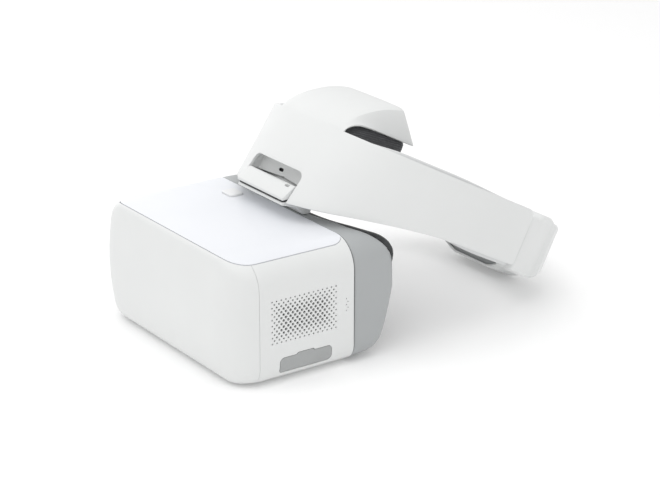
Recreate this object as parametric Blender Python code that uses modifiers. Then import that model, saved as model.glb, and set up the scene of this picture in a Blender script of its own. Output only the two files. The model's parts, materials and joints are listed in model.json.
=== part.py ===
"""FPV goggles: a box-shaped video visor on a rigid, battery-carrying headband.

Run with  blender --background --python part.py  or from Blender's text editor.
Driving dimensions are in millimetres; every mesh is written in metres, +Z up.
The visor's front face looks along -Y, and +X is the wearer's left.
"""
import math

import bmesh
import bpy
from mathutils import Matrix, Vector

MM = 0.001
GAP = 0.35                      # clearance between neighbouring pieces

# Visor body
BODY_HALF_W = 97.5
BODY_TOP = 96.0
BODY_BOTTOM = 1.6
SEAM_Y = 104.8                  # where the white body meets the grey face frame
WALL = 2.4
PLAN_RADIUS = 28.0              # vertical front corners, seen from above
TOP_EDGE_RADIUS = 3.0
BOTTOM_EDGE_RADIUS = 13.0
SIDE_RADIUS = 22.0              # long edges, seen from the front
LOWER_RADIUS = 14.0             # the two lower ones
FRONT_BULGE = 6.5
PART_LINE_Y = 23.0

# Top panel
PANEL_HALF_W = 87.0
PANEL_FRONT_Y = 9.0
PANEL_CORNER = 18.5
PANEL_REAR_CORNER = 12.0

# Face frame and foam
FRAME_SIDE_DEPTH = 39.0
FRAME_LOW_DEPTH = 27.0
FRAME_TOP_DEPTH = 8.5
FOAM_DEPTH = 15.0

# Optics
EYE_HALF_SPACING = 32.0
EYE_Z = 50.0
LENS_R = 19.0
BARREL_R = 22.0
PINION_R = 6.0
PINION_TEETH = 12
RACK_Z = 9.0
KNOB_Y = 76.0

# Headband
PITCH = math.radians(28.0)
BAND_Y = 115.0                  # the band frame's origin, in the visor's frame
BAND_Z = 105.0
BAND_HALF_W = 102.5
BAND_MID_V = 90.0
BAND_FRONT = 121.0              # from the widest point forward to the plate
BAND_REAR = 135.0               # from the widest point back to the rear housing
REAR_POWER = 3.0
BAND_TOP_W = 57.0
BAND_LOW_W = -10.0
BAND_RISE = 22.0                # how much higher the band's lower edge is at the sides
BAND_LEAN = math.tan(math.radians(15.5))
ARM_END_V = 149.0
SKIN = 2.6
CAP_HALF_W = 36.0
HINGE_V = -18.5
HINGE_W = 1.0
BLOCK_HALF_W = 30.5
NOTCH_HALF_W = 31.6
NOTCH_TOP_W = 17.5
POCKET_BACK_V = -12.2
LUG_SIZE = (4.8, 6.0, 7.4)      # across, along v, along w
PIN_R = 2.0
STRAP_X = 93.0                  # outer face of the sliding straps
KNOB_R = 17.0
REAR_LOW_W = -0.4
LINER_HALF_W = 88.7
LINER_FRONT = 103.0
KNOB_W = 30.0
KNOB_V = BAND_MID_V + BAND_REAR
CHEEK_TURN = 48.0               # where the thick rear housing starts to thin into the cheeks
CHEEK_DEPTH = 12.0
HOUSING_DEPTH = 25.0

# Cooling fan
FAN_AT = (80.0, 62.0, 59.0)
FAN_R = 15.0

# Release button
BUTTON_X, BUTTON_Y = -42.0, 90.0
BUTTON_W, BUTTON_D = 15.0, 12.0

Y_LENGTH = 339.0
Y_MID = Y_LENGTH / 2


# ---------------------------------------------------------------- scene set-up
for old in list(bpy.data.objects):
    bpy.data.objects.remove(old, do_unlink=True)

PARTS = bpy.data.collections.new("fpv_goggles")
CUTTERS = bpy.data.collections.new("cutters")
bpy.context.scene.collection.children.link(PARTS)
bpy.context.scene.collection.children.link(CUTTERS)


def material(name, colour, roughness, metallic=0.0):
    """A Principled material with the piece's own colour and gloss."""
    mat = bpy.data.materials.new(name)
    mat.use_nodes = True
    shader = mat.node_tree.nodes["Principled BSDF"]
    shader.inputs["Base Color"].default_value = (*colour, 1.0)
    shader.inputs["Roughness"].default_value = roughness
    shader.inputs["Metallic"].default_value = metallic
    mat.diffuse_color = (*colour, 1.0)
    return mat


WHITE = material("white_shell", (0.86, 0.87, 0.87), 0.38)
PANEL = material("cool_white_panel", (0.88, 0.90, 0.94), 0.30)
GREY = material("grey_shell", (0.45, 0.47, 0.47), 0.45)
RUBBER = material("grey_rubber", (0.42, 0.44, 0.44), 0.7)
FOAM = material("dark_foam", (0.05, 0.05, 0.055), 0.9)
BLACK = material("black_plastic", (0.02, 0.02, 0.022), 0.5)
GLASS = material("lens_glass", (0.5, 0.55, 0.65), 0.05)
STEEL = material("steel", (0.6, 0.6, 0.6), 0.3, 1.0)
ALLOY = material("alloy", (0.55, 0.56, 0.58), 0.4, 1.0)
BOARD = material("circuit_board", (0.02, 0.12, 0.05), 0.5)
CELL = material("battery_wrap", (0.06, 0.14, 0.35), 0.4)
PAD = material("pad_fabric", (0.09, 0.09, 0.1), 0.9)


# ---------------------------------------------------------------- frames
def world(x, y, z):
    """A point of the visor's frame (y = 0 at the front) as a scene position."""
    return Vector((x, y - Y_MID, z)) * MM


def band(x, v, w):
    """A point of the pitched headband frame (v runs back, w runs up)."""
    y = BAND_Y + v * math.cos(PITCH) + w * math.sin(PITCH)
    z = BAND_Z - v * math.sin(PITCH) + w * math.cos(PITCH)
    return world(x, y, z)


def band_matrix(x, v, w):
    """Places a shape made in millimetres about its own origin in the band frame."""
    return (Matrix.Translation(band(x, v, w)) @ Matrix.Rotation(-PITCH, 4, "X")
            @ Matrix.Diagonal((MM, MM, MM, 1)))


def visor_matrix(x, y, z):
    """The same in the visor's frame."""
    return Matrix.Translation(world(x, y, z)) @ Matrix.Diagonal((MM, MM, MM, 1))


TURN_X = Matrix.Rotation(math.pi / 2, 4, "X")     # local Z becomes -Y
TURN_Y = Matrix.Rotation(math.pi / 2, 4, "Y")     # local Z becomes +X


# ---------------------------------------------------------------- making objects
def add(name, bm, mat, pivot=None, cutter=False):
    """Turns a bmesh in scene coordinates into an object whose origin is its pivot."""
    bmesh.ops.recalc_face_normals(bm, faces=bm.faces)
    mesh = bpy.data.meshes.new(name)
    if pivot is not None:
        bmesh.ops.translate(bm, verts=bm.verts, vec=-pivot)
    bm.to_mesh(mesh)
    bm.free()
    obj = bpy.data.objects.new(name, mesh)
    if pivot is not None:
        obj.location = pivot
    if cutter:
        CUTTERS.objects.link(obj)
        obj.hide_render = True
        obj.display_type = "WIRE"
    else:
        PARTS.objects.link(obj)
        mesh.materials.append(mat)
        mesh.set_sharp_from_angle(angle=math.radians(35))
    return obj


def boolean(obj, tool, operation="DIFFERENCE"):
    """Cuts, joins or keeps the common part with a tool object."""
    mod = obj.modifiers.new(operation.lower(), "BOOLEAN")
    mod.object = tool
    mod.operation = operation
    mod.solver = "EXACT"
    return obj


def bevel(obj, width, segments=2, angle=35):
    """Rounds an object's sharp edges."""
    mod = obj.modifiers.new("bevel", "BEVEL")
    mod.width = width * MM
    mod.segments = segments
    mod.limit_method = "ANGLE"
    mod.angle_limit = math.radians(angle)
    return obj


def solidify(obj, thickness, offset=-1.0):
    """Gives an open sheet its wall."""
    mod = obj.modifiers.new("wall", "SOLIDIFY")
    mod.thickness = thickness * MM
    mod.offset = offset
    mod.use_even_offset = False
    return obj


def box(name, size, matrix, mat=None, pivot=None, cutter=False):
    """A cuboid of the given size, centred on the matrix's origin."""
    bm = bmesh.new()
    bmesh.ops.create_cube(bm, size=1.0, matrix=matrix @ Matrix.Diagonal((*size, 1)))
    return add(name, bm, mat, pivot, cutter)


def cylinder(name, radius, depth, matrix, mat=None, pivot=None, cutter=False, sides=28, radius2=None):
    """A cylinder or cone about the matrix's Z."""
    bm = bmesh.new()
    bmesh.ops.create_cone(bm, cap_ends=True, segments=sides, radius1=radius,
                          radius2=radius if radius2 is None else radius2, depth=depth, matrix=matrix)
    return add(name, bm, mat, pivot, cutter)


def plate(name, points, thickness, matrix, mat=None, pivot=None, cutter=False):
    """A flat outline with a thickness, centred on the matrix's XY plane."""
    curve = bpy.data.curves.new(name, "CURVE")
    curve.dimensions = "2D"
    curve.fill_mode = "BOTH"
    curve.extrude = thickness / 2
    spline = curve.splines.new("POLY")
    spline.points.add(len(points) - 1)
    for point, (px, py) in zip(spline.points, points):
        point.co = (px, py, 0.0, 1.0)
    spline.use_cyclic_u = True
    guide = bpy.data.objects.new(name + "_outline", curve)
    CUTTERS.objects.link(guide)
    bpy.context.view_layer.update()
    evaluated = guide.evaluated_get(bpy.context.evaluated_depsgraph_get())
    mesh = bpy.data.meshes.new_from_object(evaluated)
    bm = bmesh.new()
    bm.from_mesh(mesh)
    bmesh.ops.remove_doubles(bm, verts=bm.verts, dist=0.001)
    bmesh.ops.transform(bm, verts=bm.verts, matrix=matrix)
    bpy.data.objects.remove(guide, do_unlink=True)
    return add(name, bm, mat, pivot, cutter)


def loft(rings, closed_ring=True, cap_start=False, cap_end=False):
    """A surface through rings of equally many points."""
    bm = bmesh.new()
    rows = [[bm.verts.new(p) for p in ring] for ring in rings]
    count = len(rings[0])
    steps = count if closed_ring else count - 1
    for first, second in zip(rows, rows[1:]):
        for i in range(steps):
            j = (i + 1) % count
            bm.faces.new((first[i], first[j], second[j], second[i]))
    if cap_start:
        bm.faces.new(rows[0])
    if cap_end:
        bm.faces.new(rows[-1])
    return bm


def arc(cx, cy, radius, start, stop, steps):
    """Points of a circular arc, angles in degrees."""
    return [(cx + radius * math.cos(math.radians(start + (stop - start) * k / steps)),
             cy + radius * math.sin(math.radians(start + (stop - start) * k / steps)))
            for k in range(steps + 1)]


def rounded(x0, y0, x1, y1, radius, steps=4):
    """The outline of a rectangle with round corners, anticlockwise."""
    return (arc(x1 - radius, y0 + radius, radius, -90, 0, steps)
            + arc(x1 - radius, y1 - radius, radius, 0, 90, steps)
            + arc(x0 + radius, y1 - radius, radius, 90, 180, steps)
            + arc(x0 + radius, y0 + radius, radius, 180, 270, steps))


# ---------------------------------------------------------------- visor skin
def quarter(depth, radius):
    """How far a round edge of this radius has pulled in, at a depth from the face."""
    if depth >= radius:
        return 0.0
    return radius - math.sqrt(radius ** 2 - (radius - depth) ** 2)


def body_section(depth, shrink=0.0):
    """The body's outline in x and z at a depth behind the front face."""
    inset = quarter(depth, PLAN_RADIUS)
    half = BODY_HALF_W - inset - shrink
    top = BODY_TOP - quarter(depth, TOP_EDGE_RADIUS) - shrink
    low = BODY_BOTTOM + quarter(depth, BOTTOM_EDGE_RADIUS) + shrink
    radius = max(SIDE_RADIUS - 0.6 * inset - 0.5 * shrink, 6.0)
    foot = max(LOWER_RADIUS - 0.3 * inset - 0.5 * shrink, 5.0)
    points = []
    for cx, cz, bend, start in ((half - foot, low + foot, foot, -90), (half - radius, top - radius, radius, 0),
                                (radius - half, top - radius, radius, 90), (foot - half, low + foot, foot, 180)):
        points += arc(cx, cz, bend, start, start + 90, 6)
    return points


def front_shift(z, depth):
    """The front face is bowed: its upper and lower edges stand further back."""
    fade = max(0.0, 1.0 - depth / PLAN_RADIUS)
    return FRONT_BULGE * ((z - 49.0) / 47.0) ** 2 * fade ** 0.7


def body_skin(name, shrink, rear_y):
    """The body's wall as one closed shell, open at the back; a guide for its covers."""
    rings = []
    for depth in (rear_y, 70.0, 40.0, 28.0, 20.0, 13.0, 7.5, 3.0, 1.0, 0.0):
        rings.append([world(x, depth + front_shift(z, depth), z)
                      for x, z in body_section(depth, shrink)])
    face = body_section(0.0, shrink)
    for scale in (0.72, 0.38):
        rings.append([world(x * scale, front_shift(49 + (z - 49) * scale, 0.0), 49 + (z - 49) * scale)
                      for x, z in face])
    bm = loft(rings, cap_end=True)
    skin = add(name, bm, None, cutter=True)
    return solidify(skin, WALL)


SKIN_GUIDE = body_skin("body_skin", 0.0, SEAM_Y)


def from_skin(name, region, mat, cutters=()):
    """A cover: the part of the body's wall inside a region, less the cutters."""
    obj = boolean(region, SKIN_GUIDE, "INTERSECT")
    obj.name = name
    for tool in cutters:
        boolean(obj, tool)
    return obj


def panel_outline(grow):
    """The top panel: round front corners, and rear corners that curve in to the seam."""
    half = PANEL_HALF_W + grow
    front = PANEL_FRONT_Y - grow
    radius = PANEL_CORNER + grow
    rear_radius = PANEL_REAR_CORNER + grow
    bend = SEAM_Y + grow - rear_radius * math.sin(math.radians(65))
    right = (arc(half - radius, front + radius, radius, -90, 0, 6)
             + arc(half - rear_radius, bend, rear_radius, 0, 65, 4)
             + [(half - 0.6 * rear_radius - 2, SEAM_Y + 3)])
    return right + [(-x, y) for x, y in reversed(right)]


PANEL_HOLE = plate("panel_hole", panel_outline(GAP), 24.0, visor_matrix(0, 0, 94), cutter=True)
BUTTON_HOLE = plate("button_hole", rounded(-BUTTON_W / 2 - GAP, -BUTTON_D / 2 - GAP,
                                           BUTTON_W / 2 + GAP, BUTTON_D / 2 + GAP, 3.5, 3),
                    20.0, visor_matrix(BUTTON_X, BUTTON_Y, 94), cutter=True)


def body_covers():
    """Front cover, side covers, underside and top panel, all cut from one wall."""
    top = plate("top_panel", panel_outline(0.0), 24.0, visor_matrix(0, 0, 94), PANEL)
    from_skin("top_panel", top, PANEL, [BUTTON_HOLE])
    front = box("front_cover", (220, PART_LINE_Y + 12 - GAP / 2, 120),
                visor_matrix(0, (PART_LINE_Y - 12 - GAP / 2) / 2, 50), WHITE)
    from_skin("front_cover", front, WHITE, [PANEL_HOLE])
    length = SEAM_Y + 5 - PART_LINE_Y
    middle = PART_LINE_Y + GAP / 2 + length / 2
    port_hole = plate("port_window", rounded(41.5, 7.5, 88.5, 24.5, 4.0), 30.0,
                      visor_matrix(95, 0, 0) @ Matrix.Rotation(math.pi / 2, 4, "Z") @ TURN_X, cutter=True)
    grille_hole = plate("grille_window", rounded(29.0, 29.5, 93.0, 69.5, 5.0), 30.0,
                        visor_matrix(95, 0, 0) @ Matrix.Rotation(math.pi / 2, 4, "Z") @ TURN_X, cutter=True)
    pad_hole = plate("touch_window", rounded(33.5, 29.5, 91.5, 76.5, 6.0), 30.0,
                     visor_matrix(-95, 0, 0) @ Matrix.Rotation(math.pi / 2, 4, "Z") @ TURN_X, cutter=True)
    left = box("left_side_cover", (40, length, 120), visor_matrix(90, middle, 50), WHITE)
    from_skin("left_side_cover", left, WHITE, [PANEL_HOLE, port_hole, grille_hole])
    right = box("right_side_cover", (40, length, 120), visor_matrix(-90, middle, 50), WHITE)
    from_skin("right_side_cover", right, WHITE, [PANEL_HOLE, pad_hole])
    under = box("bottom_cover", (140 - 2 * GAP, length, 40), visor_matrix(0, middle, 10), WHITE)
    from_skin("bottom_cover", under, WHITE)
    turn = Matrix.Rotation(math.pi / 2, 4, "Z") @ TURN_X
    grille = plate("vent_grille", rounded(29.5, 30, 92.5, 69, 4.6), 16.0, visor_matrix(96, 0, 0) @ turn, WHITE)
    from_skin("vent_grille", grille, WHITE)
    touch = plate("touch_pad", rounded(34, 30, 91, 76, 5.6), 16.0, visor_matrix(-96, 0, 0) @ turn, WHITE)
    from_skin("touch_pad", touch, WHITE)
    flap = plate("port_cover", rounded(42, 8, 88, 24, 3.6), 30.0, visor_matrix(92, 0, 0) @ turn, RUBBER,
                 pivot=world(95.6, 65.0, 7.9))
    from_skin("port_cover", flap, RUBBER)
    return under


UNDER = body_covers()


# ---------------------------------------------------------------- face frame
def face_depth(x, z):
    """Depth of the grey frame behind the seam: shallow at the brow and nose, deep at the temples."""
    side = min(1.0, (abs(x) / 92.0) ** 2.2)
    height = (z - BODY_BOTTOM) / (BODY_TOP - BODY_BOTTOM)
    brow = FRAME_TOP_DEPTH + (FRAME_SIDE_DEPTH - FRAME_TOP_DEPTH) * side
    low = 12.0 + (FRAME_LOW_DEPTH - 12.0) * side
    depth = low + (brow - low) * min(1.0, height * (1.0 + 0.9 * side))
    bulge = 1.0 - (2 * height - 1) ** 4
    return depth * (0.72 + 0.28 * bulge) if side > 0.4 else depth


def frame_ring(inset, back, lip=0.0, rise=0.0):
    """One ring of the face frame; back is the share of the depth, lip moves it further back.

    The rise moves it back too, but fades towards the temples.
    """
    points = []
    for x, z in body_section(60.0, inset):
        nose = 13.0 * math.exp(-(x / 17.0) ** 2) if z < 40 else 0.0
        depth = face_depth(x, z) * back + lip
        depth += rise * (1.0 - 0.65 * min(1.0, (abs(x) / 92.0) ** 2.2))
        points.append(world(x, SEAM_Y + GAP + depth, z + nose * min(1.0, back + lip)))
    return points


def face_parts():
    """Grey rear shell and the dark foam that seals against the face."""
    rings = [frame_ring(0.5, 0.0), frame_ring(0.4, 0.5), frame_ring(1.2, 0.9), frame_ring(3.5, 1.0),
             frame_ring(10.0, 1.0), frame_ring(15.0, 1.0, -2.0)]
    solidify(add("face_frame", loft(rings), GREY), 2.0)
    seat = 1.2
    profile = [(5.0, seat), (5.0, FOAM_DEPTH - 5), (7.5, FOAM_DEPTH - 1), (11.0, FOAM_DEPTH),
               (15.0, FOAM_DEPTH - 2), (17.5, FOAM_DEPTH - 7), (17.5, seat)]
    foam = loft([frame_ring(inset, 1.0, seat, rise - seat) for inset, rise in profile])
    ring_count = len(body_section(60.0))
    foam.verts.ensure_lookup_table()
    last = len(profile) - 1
    for i in range(ring_count):
        j = (i + 1) % ring_count
        foam.faces.new((foam.verts[last * ring_count + i], foam.verts[last * ring_count + j],
                        foam.verts[j], foam.verts[i]))
    add("face_foam", foam, FOAM)


face_parts()


# ---------------------------------------------------------------- optics
def gear_outline(radius, teeth, addendum, dedendum, root_half, tip_half):
    """A spur gear's outline from trapezoid teeth."""
    points = []
    for k in range(teeth):
        mid = 2 * math.pi * k / teeth
        for r, half in ((radius - dedendum, -root_half), (radius + addendum, -tip_half),
                        (radius + addendum, tip_half), (radius - dedendum, root_half)):
            turn = mid + half / radius
            points.append((r * math.cos(turn), r * math.sin(turn)))
    return points


def rack_outline(length, height, pitch, addendum):
    """A straight rack whose teeth point up (+Y), with a tooth space at the middle."""
    half = length / 2
    points = [(-half, -height), (half, -height), (half, -1.0)]
    count = int(length / pitch) - 1
    for k in range(count, -1, -1):
        mid = (k - count / 2) * pitch
        points += [(mid + 0.8, -1.0), (mid + 0.35, addendum), (mid - 0.35, addendum), (mid - 0.8, -1.0)]
    points.append((-half, -1.0))
    return points


def optics():
    """Optics frame, sliding lens barrels with their racks, and the eye-spacing knob."""
    frame_y = SEAM_Y - 10.0
    turn = TURN_X
    frame = plate("optics_frame", rounded(-88, 20, 88, 86, 16), 3.0, visor_matrix(0, frame_y, 0) @ turn, BLACK)
    slot = plate("barrel_slots", rounded(-EYE_HALF_SPACING - BARREL_R - 4.5, EYE_Z - BARREL_R - 1,
                                         EYE_HALF_SPACING + BARREL_R + 4.5, EYE_Z + BARREL_R + 1, 20), 9.0,
                 visor_matrix(0, frame_y, 0) @ turn, cutter=True)
    boolean(frame, slot)
    for side, word in ((1, "left"), (-1, "right")):
        x = side * EYE_HALF_SPACING
        here = visor_matrix(x, SEAM_Y - 6.0, EYE_Z) @ turn
        pivot = world(x, SEAM_Y - 6.0, EYE_Z)
        barrel = cylinder("lens_barrel_" + word, BARREL_R, 24.0, here, BLACK, pivot, sides=36)
        bore = cylinder("barrel_bore_" + word, LENS_R + GAP, 40.0, here, cutter=True, sides=36)
        boolean(barrel, bore)
        bm = bmesh.new()
        bmesh.ops.create_uvsphere(bm, u_segments=32, v_segments=10, radius=1.0,
                                  matrix=here @ Matrix.Translation((0, 0, -4)) @ Matrix.Diagonal((LENS_R, LENS_R, 4.2, 1)))
        add("lens_" + word, bm, GLASS, pivot)
        rack_y = KNOB_Y - side * (PINION_R + 0.35)
        flip = Matrix.Rotation(math.pi if side < 0 else 0.0, 4, "Z")
        plate("lens_rack_" + word, rack_outline(64.0, 3.6, math.pi, 0.8), 3.0,
              visor_matrix(side * 4 * math.pi, rack_y, RACK_Z) @ flip, STEEL, pivot)
    knob_at = world(0, KNOB_Y, RACK_Z)
    plate("eye_pinion", gear_outline(PINION_R, PINION_TEETH, 0.8, 1.1, 0.75, 0.35), 2.6,
          visor_matrix(0, KNOB_Y, RACK_Z), STEEL, knob_at)


optics()


# ---------------------------------------------------------------- inside the body
def star_outline(hub, tip, blades):
    """A fan rotor's outline: swept blades on a round hub."""
    points = []
    for k in range(blades):
        base = 2 * math.pi * k / blades
        for radius, turn in ((hub, 0.0), (tip, 0.30), (tip, 0.55), (hub, 0.42)):
            points.append((radius * math.cos(base + turn), radius * math.sin(base + turn)))
    return points


def comb_outline(width, base, height, fins):
    """A heat sink's outline: a base with upright fins."""
    points = [(-width / 2, 0.0), (width / 2, 0.0)]
    pitch = width / (fins - 0.5)
    for k in range(fins):
        right = width / 2 - k * pitch
        left = right - pitch / 2
        points += [(right, height), (left, height)]
        if k < fins - 1:
            points += [(left, base), (right - pitch, base)]
    return points


def internals():
    """Display, boards, cooling and sockets."""
    box("display_panel", (124, 3, 62), visor_matrix(0, 34, 50), BLACK)
    bracket = box("display_bracket", (134, 5, 74), visor_matrix(0, 39, 50), BLACK)
    window = box("display_window", (112, 20, 54), visor_matrix(0, 39, 50), cutter=True)
    boolean(bracket, window)
    box("main_board", (120, 60, 1.6), visor_matrix(0, 64, 88), BOARD)
    plate("heat_sink", comb_outline(60, 2.0, 7.5, 9), 44.0, visor_matrix(0, 66, 79.0) @ TURN_X, ALLOY)
    fan_at = visor_matrix(*FAN_AT) @ TURN_Y
    housing = box("fan_housing", (38, 38, 9), fan_at, BLACK)
    boolean(housing, cylinder("fan_bore", FAN_R + 1.5, 30, fan_at, cutter=True, sides=28))
    plate("fan_rotor", star_outline(6.0, FAN_R, 7), 6.0, fan_at, BLACK, world(*FAN_AT))
    box("port_board", (1.6, 54, 20), visor_matrix(80.0, 62, 17), BOARD)
    for name, y, width, height in (("hdmi_socket", 50.5, 13.0, 5.0), ("usb_socket", 63.0, 7.6, 3.2),
                                   ("card_socket", 73.5, 11.0, 2.4)):
        shell = box(name, (7.5, width, height), visor_matrix(84.8, y, 17), STEEL)
        boolean(shell, box(name + "_mouth", (7.5, width - 1.4, height - 1.2),
                           visor_matrix(86.6, y, 17), cutter=True))
    jack = cylinder("audio_socket", 3.2, 7.5, visor_matrix(84.8, 83.5, 17) @ TURN_Y, BLACK, sides=20)
    boolean(jack, cylinder("audio_mouth", 1.75, 8.0, visor_matrix(87.0, 83.5, 17) @ TURN_Y, cutter=True, sides=20))
    box("proximity_sensor", (12, 4, 6), visor_matrix(0, SEAM_Y - 5.0, 78), BLACK)


internals()


def controls():
    """Release button on top; function, back and link buttons and the spacing knob underneath."""
    button = plate("release_button", rounded(-BUTTON_W / 2, -BUTTON_D / 2, BUTTON_W / 2, BUTTON_D / 2, 3.2, 3),
                   5.0, visor_matrix(BUTTON_X, BUTTON_Y, 95.0), WHITE, world(BUTTON_X, BUTTON_Y, 95.0))
    bevel(button, 0.5, 1)
    knob_hole = cylinder("knob_hole", 11.4, 20, visor_matrix(0, KNOB_Y, 2), cutter=True, sides=32)
    boolean(UNDER, knob_hole)
    cylinder("eye_knob", 11.0, 6.0, visor_matrix(0, KNOB_Y, 3.7), BLACK, world(0, KNOB_Y, RACK_Z), sides=32)
    for name, x in (("function_button", 26.0), ("back_button", 40.0), ("link_button", 54.0)):
        boolean(UNDER, cylinder(name + "_hole", 4.4, 20, visor_matrix(x, 36, 2), cutter=True, sides=20))
        cylinder(name, 4.0, 4.6, visor_matrix(x, 36, 3.1), BLACK, world(x, 36, 3.1), sides=20)
    for name, y, left, right in (("front_foot", 32.0, -60, 12), ("rear_foot", 98.0, -50, 50)):
        plate(name, rounded(left, -3.0, right, 3.0, 2.9), 1.2, visor_matrix(0, y, 0.6), RUBBER)


controls()


# ---------------------------------------------------------------- hinge on the visor
def hinge():
    """Swan-necked mount, latch plate, hinge block and pin."""
    foot_z = BODY_TOP + 0.35
    side = [(106.2, foot_z), (112.6, foot_z), (114.5, 101.0), (113.5, 109.4), (87.6, 109.4), (87.2, 107.2),
            (92.5, 105.8), (98.5, 103.4), (103.5, 99.9)]
    turn = Matrix.Rotation(math.pi / 2, 4, "Z") @ TURN_X
    plate("hinge_mount", side, 2 * BLOCK_HALF_W, visor_matrix(0, 0, 0) @ turn, WHITE)
    box("latch_plate", (56, 14, 0.9), visor_matrix(0, 96.0, 110.25), BLACK)
    block = [(87.2, 111.1), (86.9, 112.3), (88.0, 113.6), (99.4, 119.6), (101.2, 119.5), (102.4, 118.0),
             (103.2, 114.6), (102.4, 112.2), (101.4, 111.1)]
    pivot = hinge_point()
    body = plate("hinge_block", block, 2 * BLOCK_HALF_W, visor_matrix(0, 0, 0) @ turn, WHITE)
    axle = Matrix.Translation(pivot) @ TURN_Y @ Matrix.Diagonal((MM, MM, MM, 1))
    boolean(body, cylinder("pin_bore", PIN_R + 0.3, 90, axle, cutter=True, sides=16))
    cylinder("hinge_pin", PIN_R, 2 * (BLOCK_HALF_W + 4.0), axle, STEEL, pivot, sides=16)


def hinge_point():
    """The hinge axis, which runs along X."""
    return band(0, HINGE_V, HINGE_W)


hinge()


# ---------------------------------------------------------------- headband surfaces
def band_plan(turn, inset=0.0):
    """The headband's outline from above: turn is 0 at the front, 90 at the sides, in degrees."""
    a = math.radians(turn)
    return ((BAND_HALF_W - inset) * math.sin(a), BAND_MID_V - (BAND_FRONT - inset) * math.cos(a))


def lean(turn, w):
    """The front plate leans back; the lean dies out towards the sides."""
    return BAND_LEAN * (w - BAND_LOW_W) * max(0.0, math.cos(math.radians(turn))) ** 3.5


def low_edge(turn):
    """Height of the band's lower edge."""
    return BAND_LOW_W + BAND_RISE * math.sin(math.radians(min(abs(turn), 90.0))) ** 2


def arm_x(v, inset=0.0):
    """Half width of the band behind its widest point."""
    share = (max(v - BAND_MID_V, 0.0) / (BAND_REAR - inset)) ** REAR_POWER
    return (BAND_HALF_W - inset) * max(1.0 - share, 0.0) ** (1 / REAR_POWER)


def band_stations(inset, end_v, front_turns):
    """Plan points from one arm's end round the front to the other arm's end."""
    sides = [BAND_MID_V + (end_v - BAND_MID_V) * k / 3 for k in range(1, 4)]
    points = [(90.0, arm_x(v, inset), v) for v in reversed(sides)]
    points += [(t, *band_plan(t, inset)) for t in front_turns]
    mirrored = [(-t, -x, v) for t, x, v in reversed(points) if abs(t) > 0.01]
    return points + mirrored


TURNS = [90.0, 78.0, 66.0, 54.0, 43.0, 33.0, 25.0, 18.5]
CAP_TURNS = [13.0, 6.5, 0.0]


def outer_shell():
    """Front plate, crown cap and both arms: one open sheet, given its wall afterwards."""
    bm = bmesh.new()
    stations = band_stations(0.0, ARM_END_V, TURNS + CAP_TURNS)
    heights = [0.0, 0.18, 0.42, 0.7, 1.0]
    columns = []
    for turn, x, v in stations:
        low = low_edge(turn)
        column = []
        for share in heights:
            w = low + (BAND_TOP_W - low) * share
            column.append(bm.verts.new(band(x, v + lean(turn, w), w)))
        columns.append(column)
    for first, second in zip(columns, columns[1:]):
        for k in range(len(heights) - 1):
            bm.faces.new((first[k], first[k + 1], second[k + 1], second[k]))
    middle = len(stations) // 2
    inner = columns[middle - 3:middle + 4]
    root = [column[-1] for column in inner]
    rows = [[None, *root, None]]
    for step in range(1, 7):
        b = step / 6
        rows.append([bm.verts.new(band(*cap_point(a, b))) for a in
                     (-1.0, -0.86, -0.6, -0.3, 0.0, 0.3, 0.6, 0.86, 1.0)][::-1])
    for first, second in zip(rows, rows[1:]):
        for k in range(len(first) - 1):
            quad = [first[k], second[k], second[k + 1], first[k + 1]]
            quad = [vert for vert in quad if vert is not None]
            if len(quad) >= 3:
                bm.faces.new(quad)
    shell = solidify(add("headband_shell", bm, WHITE), SKIN, offset=-1.0)
    return shell


def cap_profile(b):
    """Centre line of the crown cap in v and w, from the plate's top edge to the cap's rear edge."""
    points = [(-11.5, 57.0), (-4.0, 65.5), (6.0, 73.5), (17.0, 80.5), (28.5, 86.0), (40.0, 89.5)]
    place = b * (len(points) - 1)
    index = min(int(place), len(points) - 2)
    share = place - index
    return tuple(p + (q - p) * share for p, q in zip(points[index], points[index + 1]))


def cap_point(a, b):
    """The cap: a crowned sheet whose sides turn down; a is -1..1 across, b is 0..1 to the rear."""
    v, w = cap_profile(b)
    side = abs(a)
    drop = max(0.0, (side - 0.55) / 0.45) ** 1.6
    low = 62.0 + 5.0 * min(1.0, b * 2.2)
    x = math.copysign((CAP_HALF_W + 1.5) * min(1.0, side / 0.62) ** 0.92 + 4.5 * drop * b, a)
    flap = w + 0.6 - 1.2 * side ** 2
    w_here = flap + (low - flap) * drop
    v_here = v + drop * (2.0 + 18.0 * b)
    return x, v_here, w_here


SHELL = outer_shell()
HINGE_POCKET = box("hinge_pocket", (2 * NOTCH_HALF_W, 31.0, 40.0),
                   band_matrix(0, POCKET_BACK_V - 15.5, NOTCH_TOP_W - 20.0), cutter=True)
MOUNT_POCKET = box("mount_pocket", (2 * NOTCH_HALF_W, 60.0, 30.0), visor_matrix(0, 110, 96.6), cutter=True)
boolean(SHELL, HINGE_POCKET)


def hinge_lugs():
    """Lugs inside the plate, either side of the notch, that carry the pin."""
    for side in (1, -1):
        place = band_matrix(side * (NOTCH_HALF_W + LUG_SIZE[0] / 2 - 0.2), HINGE_V + 1.5, HINGE_W - 0.5)
        boolean(SHELL, box("hinge_lug", LUG_SIZE, place, cutter=True), "UNION")
    axle = Matrix.Translation(hinge_point()) @ TURN_Y @ Matrix.Diagonal((MM, MM, MM, 1))
    boolean(SHELL, cylinder("lug_bore", PIN_R + 0.3, 2 * (NOTCH_HALF_W + 3.5), axle, cutter=True, sides=16))


hinge_lugs()


def liner_plan(turn, v, extra=0.0):
    """The liner's plan: well behind the plate at the front, straight along the arms."""
    a = math.radians(turn)
    if turn in (90.0, -90.0):
        return math.copysign(LINER_HALF_W - extra, turn), v
    return (LINER_HALF_W - extra) * math.sin(a), BAND_MID_V - (LINER_FRONT - extra) * math.cos(a)


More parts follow.
